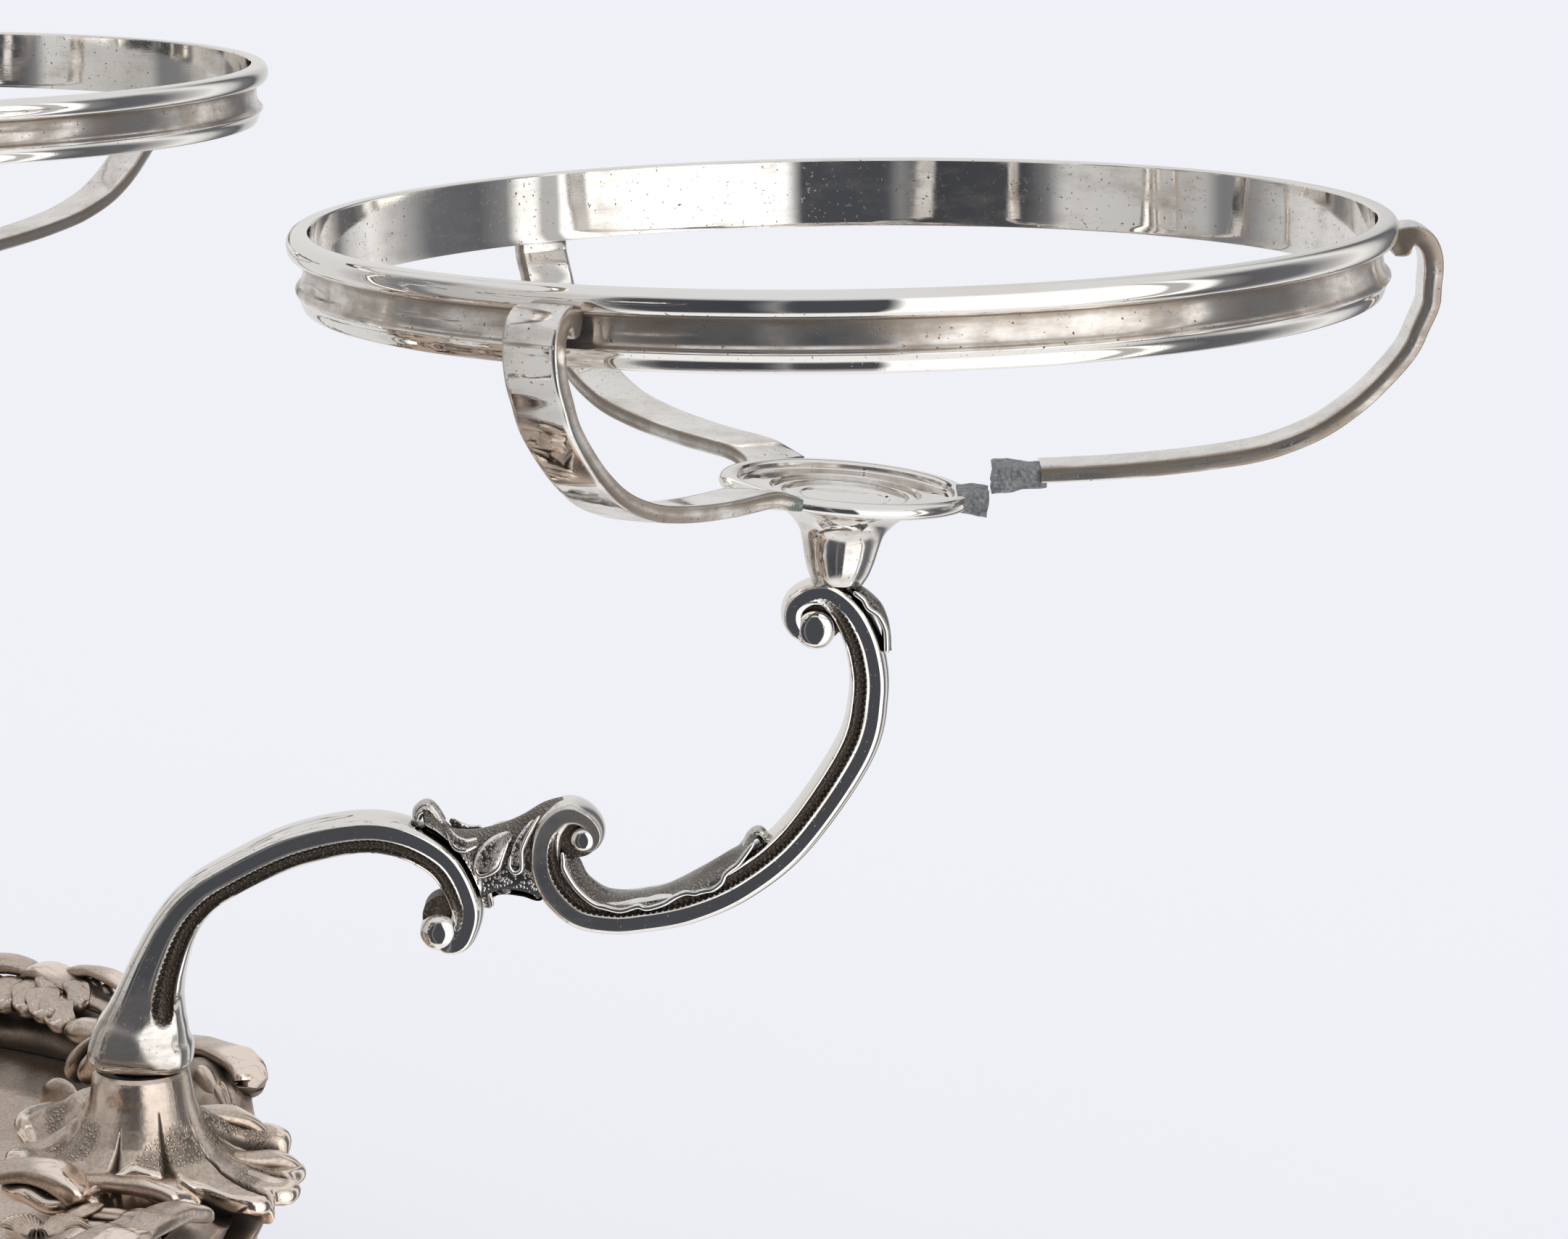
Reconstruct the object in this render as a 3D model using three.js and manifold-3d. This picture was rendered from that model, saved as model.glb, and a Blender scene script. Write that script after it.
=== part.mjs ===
// Four-armed silver table centrepiece: a low round base with a cast rococo border, four scroll arms
// that lift out of chased sockets, and a ring cradle on each arm for a round dish. A turned column in
// the middle carries a larger cradle. Millimetres, +Z up, origin under the base's centre on the table,
// arm 1 along +X. Arm 1 leans in its loose socket, and one strap of its cradle has broken off.
import * as THREE from 'three';
import { mergeVertices } from 'three/addons/utils/BufferGeometryUtils.js';
import Module from 'manifold-3d';

const wasm = await Module();
wasm.setup();

// Fits
const GAP = 0.3;
const PEG_PLAY = 0.7;
const STUD_PLAY = 0.3;
const OVERCUT = 1;

// Base
const ARM_COUNT = 4;
const FOOT_HEIGHT = 7.7;
const FOOT_WIDTH = 17;
const FOOT_LENGTH = 16;
const FOOT_SETBACK = 0.3;
const BODY_RADIUS = 90;
const BODY_HEIGHT = 25.2;
const BODY_FLARE = 9;
const BODY_WAIST = 1.8;
const BODY_WALL = 1.6;
const BODY_SCALLOP = 0.03;
const LEDGE_WIDTH = 12;
const PLATE_MARGIN = 2.5;
const PLATE_THICKNESS = 1.5;
const PLATE_DISH = 1.1;
const PLATE_WELL_RADIUS = 62;
const PLATE_SLOPE = 6;

// Border castings between the sockets
const BORDER_WIDTH = 21;
const BORDER_OVERHANG = 6.5;
const BORDER_DRAW = 10;
const BORDER_SWELL = 3;
const BORDER_HEIGHT = 7.5;
const BORDER_LIP = 1.6;
const SCROLL_RIB = 3.2;
const FLOWER_RADIUS = 9.5;
const FLOWER_HEIGHT = 6.5;
const FLOWER_PETALS = 5;

// Sockets
const SOCKET_CIRCLE = 73;
const SOCKET_HEIGHT = 19.4;
const SOCKET_TOP_RADIUS = 6.6;
const SOCKET_SPREAD = 21.3;
const LOBE_THICKNESS = 2.6;

// Arms
const ARM_REACH = 92.9;
const ARM_RISE = 75.3;
const ARM_DEPTH = 7.5;
const ARM_CHAMFER = 0.6;
const EYE_PROUD = 0.3;
const LEAF_DEPTH = 6.2;
const ARM_FOOT_RADIUS = 7.1;
const PEG_RADIUS = 3.2;
const PEG_TAPER = 0.6;
const PEG_LENGTH = 12;
const STUD_RADIUS = 1.3;
const STUD_IN_ARM = 4.5;
const STUD_IN_CUP = 6;
const ARM_1_LEAN = 4;

// Ring cradles
const RING_RADIUS = 75;
const RING_BEAD = 3.5;
const RING_HEIGHT = 10.2;
const RING_NECK_DEPTH = 2;
const RING_WALL = 1;
const CRADLE_RISE = 50.2;
const STRAP_COUNT = 3;
const STRAP_WIDTH = 7.8;
const STRAP_THICKNESS = 2.5;
const STRAP_ROLL = 2.2;
const CUP_RADIUS = 17.5;
const CUP_HEIGHT = 14.3;
const CUP_RIM = 2.2;
const CUP_FOOT_RADIUS = 3.75;
const CRADLE_TURNS = [0, -36, 0, 60];

// The bent front cradle
const CUP_1_TILT = 0.8;
const RING_1_TILT = 5.65;
const RING_1_SHIFT = -3.8;
const RING_1_LIFT = 0.3;
const STRAP_DRIFTS = [0, 4, 1.5];
const BREAK_RADIUS = 26.6;
const BREAK_SAG = 1.9;
const LUMP_LENGTH = 5.6;
const LUMP_FLARE = 0.6;
const STUB_LENGTH = 1.6;
const STUB_FLARE = 0.3;
const TEAR = 0.4;

// Column and the middle cradle
const COLUMN_RADIUS = 27;
const COLUMN_HEIGHT = 175.4;
const MIDDLE_RING_RADIUS = 100;
const MIDDLE_RISE = 56;
const MIDDLE_TURN = 30;
const ROD_RADIUS = 2.5;
const ROD_IN_COLUMN = 24;
const ROD_BELOW = 3;
const WASHER_RADIUS = 12;
const WASHER_THICKNESS = 1.4;
const NUT_RADIUS = 5.6;
const NUT_HEIGHT = 4.6;

// Facets
const RING_SIDES = 24;
const BASE_SIDES = 28;
const CUP_SIDES = 14;
const COLUMN_SIDES = 14;
const ROUND_SIDES = 12;

// Heights that follow from the sizes above
const bodyBottom = FOOT_HEIGHT + GAP;
const plateBottom = bodyBottom + BODY_HEIGHT + GAP;
const plateTop = plateBottom + PLATE_THICKNESS;
const plateRadius = BODY_RADIUS - PLATE_MARGIN;
const ornamentBottom = plateTop + GAP;
const socketTop = ornamentBottom + SOCKET_HEIGHT;
const armSeat = socketTop + GAP;
const wellTop = plateTop - PLATE_DISH;
const columnBottom = wellTop + GAP;
const columnTop = columnBottom + COLUMN_HEIGHT;
const cupSeat = ARM_RISE + GAP;

const rad = THREE.MathUtils.degToRad;

const silver = (name, color, roughness) =>
  new THREE.MeshStandardMaterial({ name, color, roughness, metalness: 1 });
const polished = silver('polished_silver', 0xd9d7d2, 0.14);
const tarnished = silver('tarnished_silver', 0x9c8f82, 0.38);
const solder = silver('lead_solder', 0x6e7072, 0.6);
const steel = silver('steel', 0x8a8d90, 0.4);

// Solids: a closed geometry becomes a manifold solid and comes back as plain triangles
function solid(geometry) {
  const bare = geometry.clone();
  bare.deleteAttribute('normal');
  bare.deleteAttribute('uv');
  const merged = mergeVertices(bare, 1e-4);
  const vertProperties = new Float32Array(merged.attributes.position.array);
  const triVerts = new Uint32Array(merged.index.array);
  return new wasm.Manifold(new wasm.Mesh({ numProp: 3, vertProperties, triVerts }));
}

function geometryOf(body) {
  const mesh = body.getMesh();
  const geometry = new THREE.BufferGeometry();
  geometry.setAttribute('position', new THREE.BufferAttribute(mesh.vertProperties, 3));
  geometry.setIndex(new THREE.BufferAttribute(mesh.triVerts, 1));
  geometry.computeVertexNormals();
  return geometry;
}

function part(name, body, material) {
  const mesh = new THREE.Mesh(geometryOf(body), material);
  mesh.name = name;
  return mesh;
}

function revolve(profile, sides) {
  const points = profile.map(([r, z]) => new THREE.Vector2(r, z));
  const outward = THREE.ShapeUtils.isClockWise(points) ? points.reverse() : points;
  return new THREE.LatheGeometry(outward, sides).rotateX(Math.PI / 2);
}

// A closed profile ring, or one that starts and ends on the axis, turned into a solid
const turned = (profile, sides = ROUND_SIDES) => solid(revolve(profile, sides));

const rod = (radius, from, to, sides = ROUND_SIDES) =>
  turned([[0, from], [radius, from], [radius, to], [0, to]], sides);

// A round cutter whose flats, not its corners, lie on the radius
const bore = (radius, from, to, sides = ROUND_SIDES) =>
  rod(radius / Math.cos(Math.PI / sides), from, to, sides);

// A flat outline in the upright X-Z plane, thickened evenly to both sides of it along Y
function upright(shape, depth) {
  const geometry = new THREE.ExtrudeGeometry(shape, { depth, bevelEnabled: false });
  return solid(geometry.translate(0, 0, -depth / 2).rotateX(Math.PI / 2));
}

// A bar of oblong section that follows a smooth line in the X-Z plane: stations are [x, z, half height],
// and bent, where given, moves each point [x, y, z] of it
function bar(stations, steps, depth, chamfer, bent = (point) => point) {
  const line = new THREE.CatmullRomCurve3(stations.map(([x, z, half]) => new THREE.Vector3(x, z, half)));
  const sections = Array.from({ length: steps + 1 }, (_, i) => {
    const centre = line.getPoint(i / steps);
    const along = line.getTangent(i / steps).setZ(0).normalize();
    return oblong(depth / 2, centre.z, Math.min(chamfer, 0.6 * centre.z))
      .map(([y, side]) => bent([centre.x - along.y * side, y, centre.y + along.x * side]));
  });
  return skinned(sections);
}

// An oblong's corners, counter-clockwise, with its corners cut off where a cut is given
function oblong(halfX, halfY, cut) {
  if (cut === 0) {
    return [[halfX, -halfY], [halfX, halfY], [-halfX, halfY], [-halfX, -halfY]];
  }
  const [x, y] = [halfX - cut, halfY - cut];
  return [[halfX, -y], [halfX, y], [x, halfY], [-x, halfY], [-halfX, y], [-halfX, -y], [-x, -halfY], [x, -halfY]];
}

// A closed smooth outline through a few points
function outline(points, divisions) {
  const shape = new THREE.Shape();
  shape.moveTo(...points[0]);
  shape.splineThru([...points.slice(1), points[0]].map(([x, z]) => new THREE.Vector2(x, z)));
  return new THREE.Shape(shape.getSpacedPoints(divisions).slice(0, -1));
}

// A solid skinned over sections, each a ring of as many [x, y, z] points, first section lowest
function skinned(sections) {
  const count = sections[0].length;
  const points = sections.flat();
  const index = [];
  for (let k = 0; k + 1 < sections.length; k += 1) {
    for (let i = 0; i < count; i += 1) {
      const a = k * count + i;
      const b = k * count + ((i + 1) % count);
      index.push(a, b, b + count, a, b + count, a + count);
    }
  }
  const top = (sections.length - 1) * count;
  for (let i = 1; i + 1 < count; i += 1) {
    index.push(0, i + 1, i, top, top + i, top + i + 1);
  }
  const geometry = new THREE.BufferGeometry();
  geometry.setAttribute('position', new THREE.Float32BufferAttribute(points.flat(), 3));
  geometry.setIndex(index);
  return solid(geometry);
}

// Moves every point of a geometry, point = change(point)
function reshaped(geometry, change) {
  const position = geometry.attributes.position;
  const point = new THREE.Vector3();
  for (let i = 0; i < position.count; i += 1) {
    change(point.fromBufferAttribute(position, i));
    position.setXYZ(i, point.x, point.y, point.z);
  }
  return geometry;
}

const turnedTo = (body, degrees) => body.rotate([0, 0, degrees]);

// Base body: an open cavetto shell whose outline draws in between the arms
function baseBody() {
  const top = bodyBottom + BODY_HEIGHT;
  const r = BODY_RADIUS;
  const w = BODY_WALL;
  const outer = [
    [r, top],
    [r - BODY_WAIST, top - 0.24 * BODY_HEIGHT],
    [r - 0.3 * BODY_WAIST, top - 0.5 * BODY_HEIGHT],
    [r + 0.5 * BODY_FLARE, top - 0.76 * BODY_HEIGHT],
    [r + BODY_FLARE, top - 0.88 * BODY_HEIGHT],
    [r + BODY_FLARE, bodyBottom],
  ];
  const inner = outer.slice(3).reverse().map(([x, z]) => [x - 1.2 * w, z]);
  const ledge = [[r - LEDGE_WIDTH, top - w], [r - LEDGE_WIDTH, top], [r, top]];
  const shell = revolve([...outer, ...inner, [r - 1.2 * w, top - w], ...ledge], BASE_SIDES);
  return solid(reshaped(shell, (p) => {
    const share = (Math.hypot(p.x, p.y) - (r - LEDGE_WIDTH)) / LEDGE_WIDTH;
    const draw = 0.5 * BODY_SCALLOP * (1 - Math.cos(ARM_COUNT * Math.atan2(p.y, p.x)));
    p.x *= 1 - draw * Math.min(share, 1);
    p.y *= 1 - draw * Math.min(share, 1);
  }));
}

function topPlate() {
  const edge = plateRadius * (1 - BODY_SCALLOP);
  const well = PLATE_WELL_RADIUS;
  const hole = ROD_RADIUS + GAP;
  return turned([
    [hole, wellTop - PLATE_THICKNESS],
    [well, wellTop - PLATE_THICKNESS],
    [well + PLATE_SLOPE, plateBottom],
    [edge, plateBottom],
    [edge, plateTop],
    [well + PLATE_SLOPE, plateTop],
    [well, wellTop],
    [hole, wellTop],
    [hole, wellTop - PLATE_THICKNESS],
  ], BASE_SIDES);
}

// Half outline of a socket's leaves, from straight outward to straight inward: angle in degrees, then the
// share of the spread. Two broad lobes and a corner point outward, the flanks are narrow, two curl inward.
const SOCKET_LEAVES = [
  [0, 0.9], [5, 0.99], [17, 1], [21, 0.88], [26, 0.95], [36, 0.93], [46, 0.66], [62, 0.52], [90, 0.47],
  [112, 0.56], [124, 0.8], [142, 0.9], [150, 0.78], [158, 0.86], [171, 0.88], [180, 0.8],
];

// One ring of points round a socket's outline: 0 is the collar and 1 the tips of the leaves
function socketRing(out, z, grow = 0) {
  const half = SOCKET_LEAVES.map(([angle, share]) => [rad(angle), share * SOCKET_SPREAD]);
  const mirrored = half.slice(1, -1).reverse().map(([angle, reach]) => [-angle, reach]);
  return [...half, ...mirrored].map(([angle, reach]) => {
    const r = SOCKET_TOP_RADIUS + (reach - SOCKET_TOP_RADIUS) * out + grow;
    return [r * Math.cos(angle), r * Math.sin(angle), z];
  });
}

// Bell that spreads into rolled leaf lobes, bored from the top for the arm's peg
function socket() {
  const rows = [[0.2, 0.8], [0.24, 0.55], [0.37, 0.26], [0.55, 0.1], [0.82, 0.02], [1, 0]];
  const bell = rows.map(([height, out]) => socketRing(out, ornamentBottom + height * SOCKET_HEIGHT));
  const edge = [socketRing(0.92, ornamentBottom), socketRing(1, ornamentBottom + LOBE_THICKNESS)];
  const hole = bore(PEG_RADIUS + PEG_PLAY, socketTop - PEG_LENGTH - 2 * OVERCUT, socketTop + OVERCUT);
  return skinned([...edge, ...bell]).subtract(hole);
}

function ringOf(count, at) {
  return Array.from({ length: count }, (_, i) => {
    const angle = (2 * Math.PI * i) / count;
    const [r, z] = at(angle);
    return [r * Math.cos(angle), r * Math.sin(angle), z];
  });
}

// Border casting: a swelling moulded edge with two C-scroll ribs and a flower in the middle
function border() {
  const outer = BODY_RADIUS + BORDER_OVERHANG;
  const inner = outer - BORDER_WIDTH;
  const half = Math.PI / ARM_COUNT;
  const steps = 8;
  const sections = Array.from({ length: steps + 1 }, (_, i) => {
    const angle = half * ((2 * i) / steps - 1);
    const swell = Math.cos((angle / half) * 0.5 * Math.PI);
    const high = BORDER_HEIGHT * (0.55 + 0.45 * swell);
    const edge = outer - BORDER_DRAW * (0.5 - 0.5 * Math.cos((angle / half) * Math.PI));
    const foot = inner - BORDER_SWELL * swell;
    const width = edge - inner;
    const profile = [
      [foot, 0],
      [foot, 0.5 * BORDER_LIP],
      [inner + 0.3 * width, 0.5 * high],
      [inner + 0.6 * width, high],
      [inner + 0.85 * width, 0.75 * high],
      [edge, BORDER_LIP],
      [edge - 0.6 * BORDER_LIP, 0],
    ];
    return profile.map(([r, z]) => [r * Math.cos(angle), r * Math.sin(angle), ornamentBottom + z]);
  });
  let body = skinned(sections);
  for (const side of [1, -1]) {
    body = body.add(scrollRib(side, inner, outer, half));
  }
  body = body.add(flower().translate([inner + 0.45 * BORDER_WIDTH, 0, 0]));
  const room = skinned([bodyBottom, socketTop].map((z) => socketRing(1, z, 2 * GAP)));
  for (const side of [1, -1]) {
    body = body.subtract(turnedTo(room.translate([SOCKET_CIRCLE, 0, 0]), (side * 180) / ARM_COUNT));
  }
  const floor = rod(2 * outer, 0, ornamentBottom, ARM_COUNT);
  return body.subtract(floor);
}

// One C-scroll rib: a round bar that rises from the border's inner edge and rolls down over its outer one
function scrollRib(side, inner, outer, half) {
  const at = (share, radius, height) => {
    const angle = side * half * share;
    return new THREE.Vector3(radius * Math.cos(angle), radius * Math.sin(angle), ornamentBottom + height);
  };
  const line = new THREE.CatmullRomCurve3([
    at(0.3, inner + 0.05 * BORDER_WIDTH, BORDER_LIP),
    at(0.24, inner + 0.4 * BORDER_WIDTH, BORDER_HEIGHT),
    at(0.38, inner + 0.81 * BORDER_WIDTH, 0.87 * BORDER_HEIGHT),
    at(0.56, inner + 0.67 * BORDER_WIDTH, 0.7 * BORDER_HEIGHT),
    at(0.6, inner + 0.3 * BORDER_WIDTH, 0.5 * BORDER_HEIGHT),
  ]);
  const section = new THREE.Shape();
  section.absarc(0, 0, SCROLL_RIB / 2, 0, 2 * Math.PI);
  return solid(new THREE.ExtrudeGeometry(section, { extrudePath: line, steps: 6, curveSegments: 3 }));
}

function flower() {
  const sides = 3 * FLOWER_PETALS;
  const rows = [[0.9, -1], [1, 0.45], [0.55, 0.95], [0.3, 0.7], [0.22, 1]];
  return skinned(rows.map(([spread, height], k) => ringOf(sides, (angle) => {
    const petal = k < 3 ? 1 - 0.12 * (1 - Math.cos(FLOWER_PETALS * angle)) : 1;
    return [FLOWER_RADIUS * spread * petal, ornamentBottom + height * FLOWER_HEIGHT];
  })));
}

// Cast foot: a scroll bracket that carries the body's lip
function baseFoot() {
  const lip = (BODY_RADIUS + BODY_FLARE) * (1 - BODY_SCALLOP);
  const toe = lip - FOOT_SETBACK;
  const heel = toe - FOOT_LENGTH;
  const shape = outline([
    [heel + 0.3 * FOOT_LENGTH, 0],
    [toe - 0.2 * FOOT_LENGTH, 0],
    [toe, 0.3 * FOOT_HEIGHT],
    [toe - 0.15 * FOOT_LENGTH, 0.65 * FOOT_HEIGHT],
    [toe - 0.03 * FOOT_LENGTH, FOOT_HEIGHT],
    [heel + 0.15 * FOOT_LENGTH, FOOT_HEIGHT],
    [heel, 0.5 * FOOT_HEIGHT],
  ], 18);
  const slab = rod(2 * lip, 0, FOOT_HEIGHT, ARM_COUNT);
  return upright(shape, FOOT_WIDTH).intersect(slab);
}

// Arm: two opposed scrolls, each a chamfered band that winds into its eyes, in the arm's own frame:
// X outward and Z up from the middle of the foot's underside, points as shares of reach and rise
const across = (share) => share * ARM_REACH;
const upward = (share) => share * ARM_RISE;
const placed = (stations) => stations.map(([x, z, ...rest]) => [across(x), upward(z), ...rest]);

const LOWER_SCROLL = [
  [0.004, 0.08, 3.3], [0.012, 0.159, 3.25], [0.038, 0.263, 2.8], [0.115, 0.368, 2.45],
  [0.222, 0.443, 2.5], [0.342, 0.477, 2.35], [0.434, 0.439, 2.2], [0.477, 0.358, 2.1],
  [0.473, 0.295, 1.5], [0.438, 0.282, 0.95], [0.419, 0.308, 0.8], [0.423, 0.332, 0.75],
];
const UPPER_SCROLL = [
  [0.639, 0.486, 0.75], [0.66, 0.488, 0.75], [0.665, 0.517, 0.8], [0.647, 0.538, 1],
  [0.615, 0.536, 1.5], [0.596, 0.503, 1.9], [0.594, 0.451, 2.2], [0.611, 0.401, 2.4],
  [0.648, 0.361, 2.4], [0.693, 0.352, 2.4], [0.737, 0.358, 2.4], [0.814, 0.384, 2.5],
  [0.892, 0.437, 2.5], [0.968, 0.53, 2.5], [1.043, 0.694, 2.6], [1.058, 0.802, 2.5],
  [1.048, 0.884, 2.4], [1.022, 0.948, 2.2], [0.989, 0.984, 1.7], [0.961, 0.984, 1.35],
  [0.94, 0.963, 1.15], [0.935, 0.935, 1.05], [0.947, 0.913, 0.95], [0.964, 0.909, 0.8],
];
const EYES = [[0.438, 0.322, 2.1], [0.647, 0.503, 1.9], [0.969, 0.933, 2.5]];
const JOINING_LEAF = [
  [0.4, 0.496], [0.405, 0.538], [0.418, 0.553], [0.435, 0.541], [0.47, 0.514], [0.514, 0.514], [0.556, 0.529],
  [0.592, 0.555], [0.6, 0.506], [0.59, 0.405], [0.57, 0.388], [0.541, 0.386], [0.526, 0.368], [0.508, 0.344],
  [0.49, 0.374], [0.47, 0.435], [0.43, 0.471],
];
const INNER_LEAF = [
  [0.635, 0.425], [0.656, 0.429], [0.673, 0.413], [0.703, 0.405], [0.737, 0.408], [0.779, 0.419], [0.822, 0.441],
  [0.863, 0.478], [0.886, 0.501], [0.897, 0.536], [0.912, 0.542], [0.93, 0.526], [0.9, 0.445], [0.82, 0.39],
  [0.7, 0.359], [0.64, 0.385],
];
const TOP_LEAF = [
  [1.03, 0.982], [1.06, 0.977], [1.079, 0.947], [1.09, 0.901], [1.085, 0.89], [1.07, 0.911], [1.045, 0.931],
];

function armFoot() {
  const octagon = ([z, centre, hx, hy]) =>
    oblong(hx, hy, 0.55 * Math.min(hx, hy)).map(([x, y]) => [centre + x, y, z]);
  const half = ARM_DEPTH / 2;
  const [, , neck] = LOWER_SCROLL[1];
  return skinned([
    [0, 0, 0.9 * ARM_FOOT_RADIUS, 0.86 * ARM_FOOT_RADIUS],
    [0.017 * ARM_RISE, 0, 0.98 * ARM_FOOT_RADIUS, 0.94 * ARM_FOOT_RADIUS],
    [0.055 * ARM_RISE, 0, ARM_FOOT_RADIUS, 0.94 * ARM_FOOT_RADIUS],
    [0.085 * ARM_RISE, across(0.003), 0.78 * ARM_FOOT_RADIUS, 0.74 * ARM_FOOT_RADIUS],
    [0.115 * ARM_RISE, across(0.008), 0.6 * ARM_FOOT_RADIUS, 0.6 * ARM_FOOT_RADIUS],
    [0.165 * ARM_RISE, across(0.0125), 0.97 * neck, 0.97 * half],
  ].map(octagon));
}

function arm() {
  let body = bar(placed(LOWER_SCROLL), 14, ARM_DEPTH, ARM_CHAMFER);
  body = body.add(bar(placed(UPPER_SCROLL), 25, ARM_DEPTH, ARM_CHAMFER));
  for (const [x, z, radius] of EYES) {
    const eye = rod(radius, -ARM_DEPTH / 2 - EYE_PROUD, ARM_DEPTH / 2 + EYE_PROUD, 8);
    body = body.add(eye.rotate([90, 0, 0]).translate([across(x), 0, upward(z)]));
  }
  body = body.add(upright(outline(placed(JOINING_LEAF), 14), LEAF_DEPTH));
  body = body.add(upright(outline(placed(INNER_LEAF), 12), LEAF_DEPTH));
  body = body.add(upright(outline(placed(TOP_LEAF), 7), 0.7 * LEAF_DEPTH));
  body = body.add(armFoot());
  const peg = turned([[0, -PEG_LENGTH], [PEG_RADIUS - PEG_TAPER, -PEG_LENGTH], [PEG_RADIUS, 0.5], [0, 0.5]], 8);
  const hole = bore(STUD_RADIUS + STUD_PLAY, ARM_RISE - STUD_IN_ARM, ARM_RISE + OVERCUT, 8);
  const crown = rod(2 * ARM_FOOT_RADIUS, ARM_RISE, 2 * ARM_RISE, 8);
  return body.add(peg).subtract(hole.translate([ARM_REACH, 0, 0])).subtract(crown.translate([ARM_REACH, 0, 0]));
}

// Ring: half-round bead, concave neck and lower band round a plain inner wall
function ringProfile(radius, grow = 0) {
  const neck = radius - RING_NECK_DEPTH;
  const low = RING_HEIGHT;
  return [
    [radius - 0.43 * RING_BEAD, grow],
    [radius - 0.11 * RING_BEAD, -0.11 * RING_BEAD],
    [radius + grow, -0.4 * RING_BEAD],
    [neck + grow, -RING_BEAD - grow],
    [neck + grow, -0.7 * low],
    [radius - 0.5 * RING_NECK_DEPTH + grow, -0.77 * low],
    [neck - 0.1 * RING_NECK_DEPTH + grow, -low - grow],
  ];
}

function ring(radius) {
  const inside = radius - RING_NECK_DEPTH - RING_WALL;
  return turned([
    [inside, 0],
    ...ringProfile(radius),
    [inside, -RING_HEIGHT],
    [inside, 0],
  ], RING_SIDES);
}

function ringRoom(radius) {
  const profile = ringProfile(radius, GAP);
  const [[crest]] = profile;
  return turned([[0, OVERCUT], [crest, OVERCUT], ...profile, [0, -RING_HEIGHT - GAP]], RING_SIDES);
}

// Strap: a flat bar from the cup's rim out under the ring, hooked over into a roll at the ring's neck.
// The run is in shares of the way out and down, the hook in millimetres out from the ring and down.
const STRAP_RUN = [
  [-0.04, 0.985], [0.115, 0.95], [0.303, 0.926], [0.457, 0.899], [0.59, 0.867], [0.696, 0.83], [0.812, 0.762],
  [0.903, 0.67], [0.974, 0.568],
];
const STRAP_HOOK = [[1.7, 17.2], [3.3, 13.8], [4.6, 10.5], [4.8, 6.8], [4, 4.4], [2.7, 3.2], [1.2, 3.9], [0.5, 5.2]];
const ROLL_OUT = 0.7;
const ROLL_DOWN = 5.2;

function strap(ringRadius, rise, bend = new THREE.Vector3(), sag = 0) {
  const drop = rise - CUP_HEIGHT + CUP_RIM / 2;
  const half = STRAP_THICKNESS / 2;
  const bent = ([x, y, z]) => {
    const inward = THREE.MathUtils.clamp((ringRadius - x) / (ringRadius - CUP_RADIUS), 0, 1);
    const pull = inward * inward;
    const low = z < -RING_HEIGHT ? sag * Math.min(1, 1.4 * (1 - inward)) : 0;
    return [x + pull * bend.x, y + pull * bend.y, z + pull * bend.z - low];
  };
  const run = STRAP_RUN.map(([out, down]) => [CUP_RADIUS + out * (ringRadius - CUP_RADIUS), -down * drop, half]);
  const hook = STRAP_HOOK.map(([out, down]) => [ringRadius + out, -down, half]);
  const roll = rod(STRAP_ROLL, -STRAP_WIDTH / 2, STRAP_WIDTH / 2, 8);
  return bar([...run, ...hook], 13, STRAP_WIDTH, 0, bent)
    .add(roll.rotate([90, 0, 0]).translate([ringRadius + ROLL_OUT, 0, -ROLL_DOWN]))
    .subtract(ringRoom(ringRadius));
}

const wholeStrap = (ringRadius, rise) =>
  strap(ringRadius, rise).subtract(rod(CUP_RADIUS + GAP, -rise, 0, CUP_SIDES));

const brokenStrap = (ringRadius, rise) =>
  strap(ringRadius, rise, new THREE.Vector3(), BREAK_SAG).subtract(rod(BREAK_RADIUS, -2 * rise, 0, 4 * CUP_SIDES));

// A whole strap of the front cradle: its inner end is bent to where the tilted cup's rim now lies
function bentStrap(ringRadius, rise, angle) {
  const toStrap = new THREE.Matrix4().makeRotationZ(-angle).multiply(frontRingPlace().invert());
  const rimLevel = CUP_HEIGHT - CUP_RIM / 2;
  const rim = new THREE.Vector3(CUP_RADIUS * Math.cos(angle), CUP_RADIUS * Math.sin(angle), rimLevel);
  const bend = rim.applyMatrix4(toStrap).sub(new THREE.Vector3(CUP_RADIUS, 0, rimLevel - rise));
  const dish = rod(CUP_RADIUS + GAP, 0, rise, CUP_SIDES).transform(toStrap.elements);
  return strap(ringRadius, rise, bend).subtract(dish);
}

// Place of the bent front ring, with its straps, over its cup
function frontRingPlace() {
  const place = new THREE.Matrix4().makeRotationY(-rad(RING_1_TILT));
  return place.setPosition(RING_1_SHIFT, 0, CRADLE_RISE + RING_1_LIFT);
}

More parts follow.
